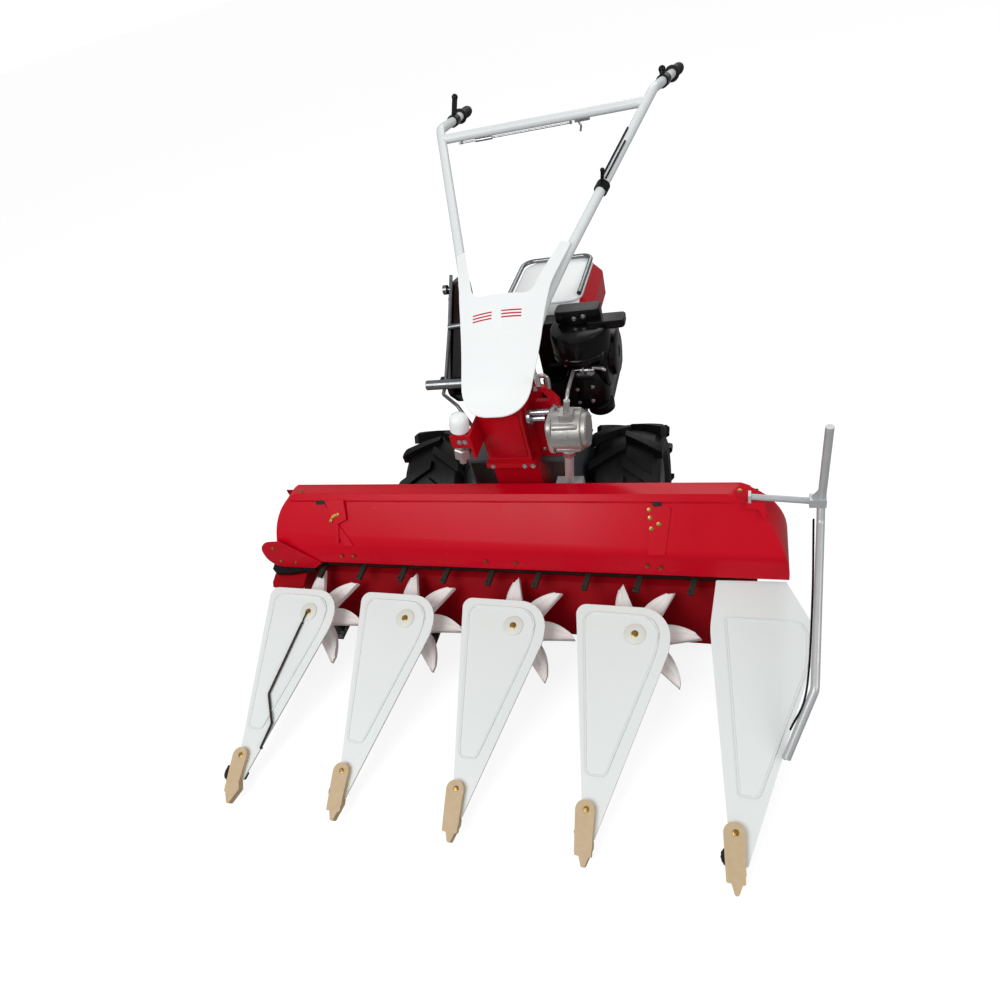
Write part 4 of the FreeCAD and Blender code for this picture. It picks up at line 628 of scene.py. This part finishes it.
# ---------------------------------------------------------------- gearbox fittings
def fuel_filter():
    """White bowl with a domed top, on a hexagon body with a drain screw."""
    low = np.array([TRACTOR - 108, 728, 512.0])
    way = unit(np.array([27.0, 0, 140]))
    bowl = turned([(6, 104), (21, 104), (23.5, 106), (23.5, 126), (22.6, 135), (19, 143), (11, 148),
                   (3, 149)], low, way, 48)
    made = piece("filter_bowl", [bowl], WHITE, "machine", 50)
    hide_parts("filter_cup")
    body = turned([(6, 18), (17.5, 18), (20.5, 21), (20.5, 47), (17.5, 50), (6, 50)], low, way, 48, 6)
    screw = turned([(3, 0), (8.5, 0), (10, 2), (10, 11), (8, 13), (8, 19), (3, 19)], low, way, 48, 6)
    neck = turned([(3, 49), (11, 49), (11, 106), (3, 106)], low, way, 32)
    made = piece("filter_hexagons", [body, screw, neck], ALLOY, "machine", 30)
    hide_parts("filter_body")


def angle_drive():
    """Cast drum with a raised rim, a machined cap, a flange, four lugs and a sloping neck."""
    y, z = 728, 603
    drum = turned([(10, 134), (42, 134), (45, 138), (45, 160), (43, 162), (43, 182), (46, 184),
                   (46, 208), (40, 210), (40, 219), (37, 221), (31, 221), (29, 216), (8, 215)],
                  (TRACTOR, y, z), ACROSS, 64)
    boss = carried([(TRACTOR + 179, y - 6, h) for h in (632, 652, 658)],
                   rounded_box((36, 34), 5), (1, 1, 0.9))
    top, low = np.array([TRACTOR + 166, 730, 548.0]), np.array([TRACTOR + 132, 782, 394.0])
    way = unit(top - low)
    neck = turned([(12, -4), (19, -4), (21, 0), (21, 8), (18, 11), (18, 46), (8, 46)], top, way, 40)
    nut = turned([(10, -26), (15, -26), (16, -24), (16, -8), (10, -6)], top, way, 36, 6)
    flange = carried([(TRACTOR + x, y, z) for x in (133, 136, 143, 145)],
                     rounded_box((88, 88), 22), (0.96, 1, 1, 0.96))
    lugs = []
    for angle in np.arange(4) * math.pi / 2 + math.pi / 4:
        way = np.array([0, math.cos(angle), math.sin(angle)])
        foot = np.array([TRACTOR + 148, y, z]) + way * 43
        lugs.append(turned([(1, 0), (7, 0), (7.5, 2), (7.5, 52), (6, 56), (1, 56)], foot, ACROSS, 20))
    parts = [drum, boss, neck, nut, flange] + lugs
    piece("angle_drive_casting", parts, ALLOY, "machine", 30)
    spots = [((TRACTOR + 219.5, y + 35 * math.cos(a), z + 35 * math.sin(a)), ACROSS)
             for a in np.arange(6) * math.pi / 3 + 0.3]
    bolts("angle_drive_screws", "machine", spots, 3.4)


def gearbox_cover():
    """Front cover plate that stands a little proud, with its joint all round."""
    path = [(TRACTOR, y, 560) for y in (764.5, 762.2, 761.0)]
    plate = carried(path, rounded_box((98, 128), 8), (1, 1, 0.975))
    piece("gearbox_cover_plate", [plate], CAST_RED, "machine")


fuel_filter()
angle_drive()
gearbox_cover()


# ---------------------------------------------------------------- header fittings
def chain_bolts():
    """Round-headed bolt near the tip of each finger on the chain's front run.

    Fingers stand 130 mm apart, the first 47 mm short of the chain's left end, and lean 12
    degrees off the run.
    """
    lean = math.radians(-102)
    reach = 44
    pitch = 129.99
    first = 542 - 47 + reach * math.cos(lean)
    run = 672 + reach * math.sin(lean)
    spots = [(sloped([(first - pitch * number, run, -22.9)])[0], SLOPE_OUT) for number in range(9)]
    bolts("finger_bolts", "machine", spots, 3.4, STEEL)


def skid_discs():
    """Dished discs with a saw-toothed rim, under the dividers."""
    angle = np.arange(96) * 2 * np.pi / 96
    radius = 20 * (1 + 0.07 * (angle * 16 / (2 * np.pi) % 1))
    rim = np.stack([radius * np.cos(angle), radius * np.sin(angle)], 1)
    parts = []
    for tip, aside in zip(TIPS, (-50, -32, -20, -14, -12)):
        y = (sloped([(tip, 64, -8)])[0][1] + sloped([(tip, 130, -8)])[0][1]) / 2 - 12
        parts.append(carried([(tip + aside, y, z) for z in (4.9, 8, 12, 14.2)], rim, (0.8, 1.0, 1.0, 0.7)))
    piece("serrated_skid_discs", parts, STEEL, "machine", 25)


def strap_pocket_shade():
    """Thin black sheets on the cover behind its two straps, below the rail: painted shade that stands for the
    pockets there.
    """
    steps = [(-1.0, 1.0), (0.5, 1.0), (0.7, 0.97)]
    slots = [slab(on_hood([(low, 21, 0), (high, 22, 0), (high, 9, 0), (low + 4, 7, 0)]), HOOD_OUT, steps)
             for low, high in ((407, 429), (-513, -458))]
    piece("strap_pocket_painted_shade", slots, GRIP, "machine")


def strap_plates():
    """Bent plate over the left strap, and the stepped end of the cover below the rail."""
    lever = [(-482, 20), (-421, 23), (-414, -33), (-452, -51), (-469, -13)]
    tail = [(-452, -48), (-440, -44), (-442, -98), (-450, -98)]
    ledge = [(612, 20), (650, 20), (657, -4), (655, -22), (640, 2), (612, 5)]
    steps = [(-1.5, 1.0), (2.2, 1.0), (3.0, 0.96)]
    parts = [slab(on_hood([(x, run, lift) for x, run in line]), HOOD_OUT, steps)
             for line, lift in ((lever, 1.0), (tail, 0.0), (ledge, 2.5))]
    piece("strap_plates", parts, RED, "machine", 30)
    spots = [(point, HOOD_OUT)
             for point in on_hood([(-464, -37, 4.2), (-457, -26, 4.2), (-450, -22, 4.2), (-441, -19, 4.2)])]
    bolts("strap_bolts", "machine", spots, 3.2, BRASS)


def chain_end():
    """End of the deck and the black casing of the chain's end, under the cover's lobe."""
    outline = [(-596, 586), (-698, 586), (-705, 600), (-705, 628), (-596, 634)]
    deck = slab(sloped([(x, run, -30) for x, run in outline]), SLOPE_OUT, [(0, 1.0), (5, 1.0), (6, 0.98)])
    # The deck's end takes the red that is darkened as painted shade.
    piece("deck_end", [deck], HEADER_SHADE_RED, "machine", 30)
    outline = [(-560, 640), (-640, 624), (-688, 622), (-706, 636), (-706, 664), (-696, 676), (-560, 690)]
    casing = slab(sloped([(x, run, -22) for x, run in outline]), SLOPE_OUT,
                  [(0, 0.97), (2, 1.0), (14, 1.0), (16, 0.96)])
    piece("chain_end_casing", [casing], BLACK, "machine", 30)


def wire_end():
    """The wire's upper end, over the washer to the bolt of the first star post."""
    line = sloped([(-539, 476, 9), (-537, 484, 11.5), (-533, 498, 13.4), (-531, 509, 13.6)])
    wire = carried(curve_through(line, 16), circle(2.1, 12))
    piece("wire_end", [wire], STEEL, "machine", 60)


def corner_line(corners, count=7):
    """Closed line through corners (x, run, reach), each rounded by a parabola of that reach."""
    corners = np.array(corners, float)
    line = []
    t = np.linspace(0, 1, count)[:, None]
    for before, here, after in zip(np.roll(corners, 1, 0), corners, np.roll(corners, -1, 0)):
        first = here[:2] + unit(before[:2] - here[:2]) * here[2]
        last = here[:2] + unit(after[:2] - here[:2]) * here[2]
        line.append((1 - t) ** 2 * first + 2 * t * (1 - t) * here[:2] + t**2 * last)
    line = np.concatenate(line)
    return np.concatenate([line, line[:1]])


def pressed_beads():
    """Raised bead pressed into each divider plate, along the edge of its panel."""
    narrow = [(-13, 190, 12), (-56, 557, 28), (126, 555, 56), (123, 476, 40), (28, 190, 12)]
    wide = [(3, 190, 8), (-29, 562, 8), (126, 562, 16), (141, 540, 16), (139, 470, 30), (40, 190, 12)]
    parts = []
    for tip in TIPS:
        line = corner_line(wide if tip == TIPS[-1] else narrow)
        points = sloped(np.column_stack([line[:, 0] + tip, line[:, 1], np.full(len(line), 6.3)]))
        parts.append(carried(points, circle(2.2, 12)))
    piece("pressed_beads", parts, PANEL, "machine", 60)


def rod_shade_bar():
    """Flat bar beside the guide rod, on its inner side, coloured black as painted shade for the bar's shaded
    side.
    """
    path = curve_through([(754, 700, 352), (746, 530, 282), (729, 352, 214), (700, 300, 150)], 20)
    piece("guide_rod_painted_shade_bar", [carried(path, rounded_box((4, 12), 1.2))], BLACK, "machine", 50)


def wheel_faces():
    """Six wheel nuts on the outer face of each wheel disc."""
    for side, word in ((1, "left"), (-1, "right")):
        low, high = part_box("wheel_" + word)
        centre = (np.array((low + high) / 2) - HOME) * 1000
        face = ((high.x if side > 0 else low.x) - HOME[0]) * 1000
        spots = [((face - side * 30, centre[1] + 38 * math.cos(a), centre[2] + 38 * math.sin(a)),
                  ACROSS * side) for a in np.arange(6) * math.pi / 3]
        bolts("wheel_nuts_" + word, "wheel_body_" + word, spots, 7.5)


chain_bolts()
strap_plates()
chain_end()
wire_end()
rod_shade_bar()
pressed_beads()
wheel_faces()
skid_discs()
strap_pocket_shade()


# ---------------------------------------------------------------- stripes on the console
def console_stripes():
    """Two groups of three slanting red stripes, painted across the console's upper part.

    The place across is x, from the console's middle, and the place along is y, from the
    band's lower edge, with the slant times x added. A stripe is where y lies in the first
    part of a pitch, within a band of three pitches, and where x is inside a group.
    """
    lower_edge, pitch_mm, slant_share, stripe_share, rows = 935.4, 6.0, -0.03, 0.45, 2.9
    groups_middle, gap_half, group_far = -9.0, 12.0, 62.0
    tree = WHITE_CONSOLE.node_tree
    shader = tree.nodes["Principled BSDF"]
    place = add(tree, "ShaderNodeTexCoord").outputs["Object"]
    parts = add(tree, "ShaderNodeSeparateXYZ", {"Vector": place})
    middle = float(HOME[0] + TRACTOR / 1000)
    start = float(HOME[1] + lower_edge / 1000)
    x = add(tree, "ShaderNodeMath", {0: parts.outputs["X"], 1: middle}, operation="SUBTRACT")
    slant = add(tree, "ShaderNodeMath", {0: x.outputs[0], 1: slant_share}, operation="MULTIPLY")
    y = add(tree, "ShaderNodeMath", {0: parts.outputs["Y"], 1: start}, operation="SUBTRACT")
    y = add(tree, "ShaderNodeMath", {0: y.outputs[0], 1: slant.outputs[0]}, operation="ADD")
    pitch = add(tree, "ShaderNodeMath", {0: y.outputs[0], 1: 1000 / pitch_mm}, operation="MULTIPLY")
    row = add(tree, "ShaderNodeMath", {0: pitch.outputs[0], 1: 1.0}, operation="FLOORED_MODULO")
    line = add(tree, "ShaderNodeMath", {0: row.outputs[0], 1: stripe_share}, operation="LESS_THAN")
    low = add(tree, "ShaderNodeMath", {0: pitch.outputs[0], 1: 0.0}, operation="GREATER_THAN")
    high = add(tree, "ShaderNodeMath", {0: pitch.outputs[0], 1: rows}, operation="LESS_THAN")
    mirrored = add(tree, "ShaderNodeMath", {0: x.outputs[0], 1: -groups_middle / 1000}, operation="ADD")
    away = add(tree, "ShaderNodeMath", {0: mirrored.outputs[0]}, operation="ABSOLUTE")
    inner = add(tree, "ShaderNodeMath", {0: away.outputs[0], 1: gap_half / 1000}, operation="GREATER_THAN")
    outer = add(tree, "ShaderNodeMath", {0: away.outputs[0], 1: group_far / 1000}, operation="LESS_THAN")
    mask = line.outputs[0]
    for test in (low, high, inner, outer):
        mask = add(tree, "ShaderNodeMath", {0: mask, 1: test.outputs[0]}, operation="MULTIPLY").outputs[0]
    white = shader.inputs["Base Color"].links[0].from_socket
    pair = {"Factor": mask, "A": white, "B": linear("#C2102A")}
    mixed = add(tree, "ShaderNodeMix", pair, data_type="RGBA")
    tree.links.new(mixed.outputs[2], shader.inputs["Base Color"])


console_stripes()


def tank_front():
    """White skin over the tank's front, with its edge along the red sides."""
    side_edge = float(HOME[0] + (TRACTOR + 152) / 1000)
    front_edge = float(HOME[1] + 1.125)
    tree = TANK.node_tree
    shader = tree.nodes["Principled BSDF"]
    place = add(tree, "ShaderNodeTexCoord").outputs["Object"]
    parts = add(tree, "ShaderNodeSeparateXYZ", {"Vector": place})
    side = add(tree, "ShaderNodeMath", {0: parts.outputs["X"], 1: side_edge}, operation="LESS_THAN")
    front = add(tree, "ShaderNodeMath", {0: parts.outputs["Y"], 1: front_edge}, operation="LESS_THAN")
    mask = add(tree, "ShaderNodeMath", {0: side.outputs[0], 1: front.outputs[0]}, operation="MULTIPLY")
    red = shader.inputs["Base Color"].links[0].from_socket
    pair = {"Factor": mask.outputs[0], "A": red, "B": linear("#F6F8F8")}
    mixed = add(tree, "ShaderNodeMix", pair, data_type="RGBA")
    tree.links.new(mixed.outputs[2], shader.inputs["Base Color"])


tank_front()


# ---------------------------------------------------------------- floor, light and camera
def studio():
    """Pale floor that shows white but takes soft shadows, white surroundings, three soft boxes."""
    bpy.ops.mesh.primitive_plane_add(size=80, location=(0, 0, 0))
    floor = bpy.context.object
    floor.name = "studio_floor"
    material = bpy.data.materials.new("pale_matte_paper")
    material.use_nodes = True
    tree = material.node_tree
    tree.nodes.clear()
    rays = add(tree, "ShaderNodeLightPath")
    through = add(tree, "ShaderNodeMath", {
        0: rays.outputs["Is Camera Ray"], 1: rays.outputs["Is Transmission Ray"]}, operation="MAXIMUM")
    paper = add(tree, "ShaderNodeBsdfDiffuse", {"Color": linear("#8C8C8C")})
    glow = add(tree, "ShaderNodeEmission", {"Color": linear("#FFFFFF"), "Strength": 0.86})
    lit = add(tree, "ShaderNodeAddShader", {0: paper.outputs[0], 1: glow.outputs[0]})
    both = add(tree, "ShaderNodeMixShader", {0: through.outputs[0], 1: paper.outputs[0], 2: lit.outputs[0]})
    add(tree, "ShaderNodeOutputMaterial", {"Surface": both.outputs[0]})
    floor.data.materials.append(material)

    world = bpy.data.worlds.new("white_studio")
    bpy.context.scene.world = world
    world.use_nodes = True
    tree = world.node_tree
    tree.nodes.clear()
    rays = add(tree, "ShaderNodeLightPath")
    through = add(tree, "ShaderNodeMath", {
        0: rays.outputs["Is Camera Ray"], 1: rays.outputs["Is Transmission Ray"]}, operation="MAXIMUM")
    dim = add(tree, "ShaderNodeBackground", {"Color": linear("#FFFFFF"), "Strength": 0.46})
    white = add(tree, "ShaderNodeBackground", {"Color": linear("#FFFFFF"), "Strength": 1.0})
    both = add(tree, "ShaderNodeMixShader", {0: through.outputs[0], 1: dim.outputs[0], 2: white.outputs[0]})
    add(tree, "ShaderNodeOutputWorld", {"Surface": both.outputs[0]})

    centre = np.array([0.0, 0.0, 0.4])
    for name, place, size, power in (
        ("key_box", (-1.6, -3.2, 3.6), 2.6, 105.0),
        ("fill_box", (3.4, -1.4, 2.4), 2.0, 34.0),
        ("back_box", (0.4, 3.6, 3.0), 2.6, 45.0),
    ):
        lamp = bpy.data.lights.new(name, "AREA")
        lamp.size = size
        lamp.energy = power
        lamp.shape = "SQUARE"
        thing = bpy.data.objects.new(name, lamp)
        bpy.context.scene.collection.objects.link(thing)
        aim(thing, place, centre)


def aim(thing, place, target):
    """Turns a lamp so that it shines from its place to the target."""
    back = unit(np.array(place) - target)
    side = unit(np.cross(UP, back))
    turn(thing, side, np.cross(back, side), back, place)


def turn(thing, side, over, back, place):
    """Sets an object's axes and place."""
    matrix = np.eye(4)
    matrix[:3, 0], matrix[:3, 1], matrix[:3, 2], matrix[:3, 3] = side, over, back, place
    thing.matrix_world = Matrix(matrix.tolist())


def camera():
    """Camera at 1.54 m, ahead of the header and to its left, tilted by a hand-held roll."""
    lens = bpy.data.cameras.new("camera")
    lens.lens = 24.749
    lens.sensor_width = 36.0
    lens.clip_start, lens.clip_end = 0.05, 200.0
    eye = bpy.data.objects.new("camera", lens)
    bpy.context.scene.collection.objects.link(eye)
    right = np.array([0.941204, 0.245418, -0.232175])
    down = np.array([0.002987, -0.693254, -0.720687])
    ahead = np.array([-0.337826, 0.677620, -0.653226])
    turn(eye, right, -down, -ahead, at((614.95, -469.67, 1536.88))[0])
    bpy.context.scene.camera = eye


studio()
camera()
bpy.context.scene.view_settings.view_transform = "Standard"
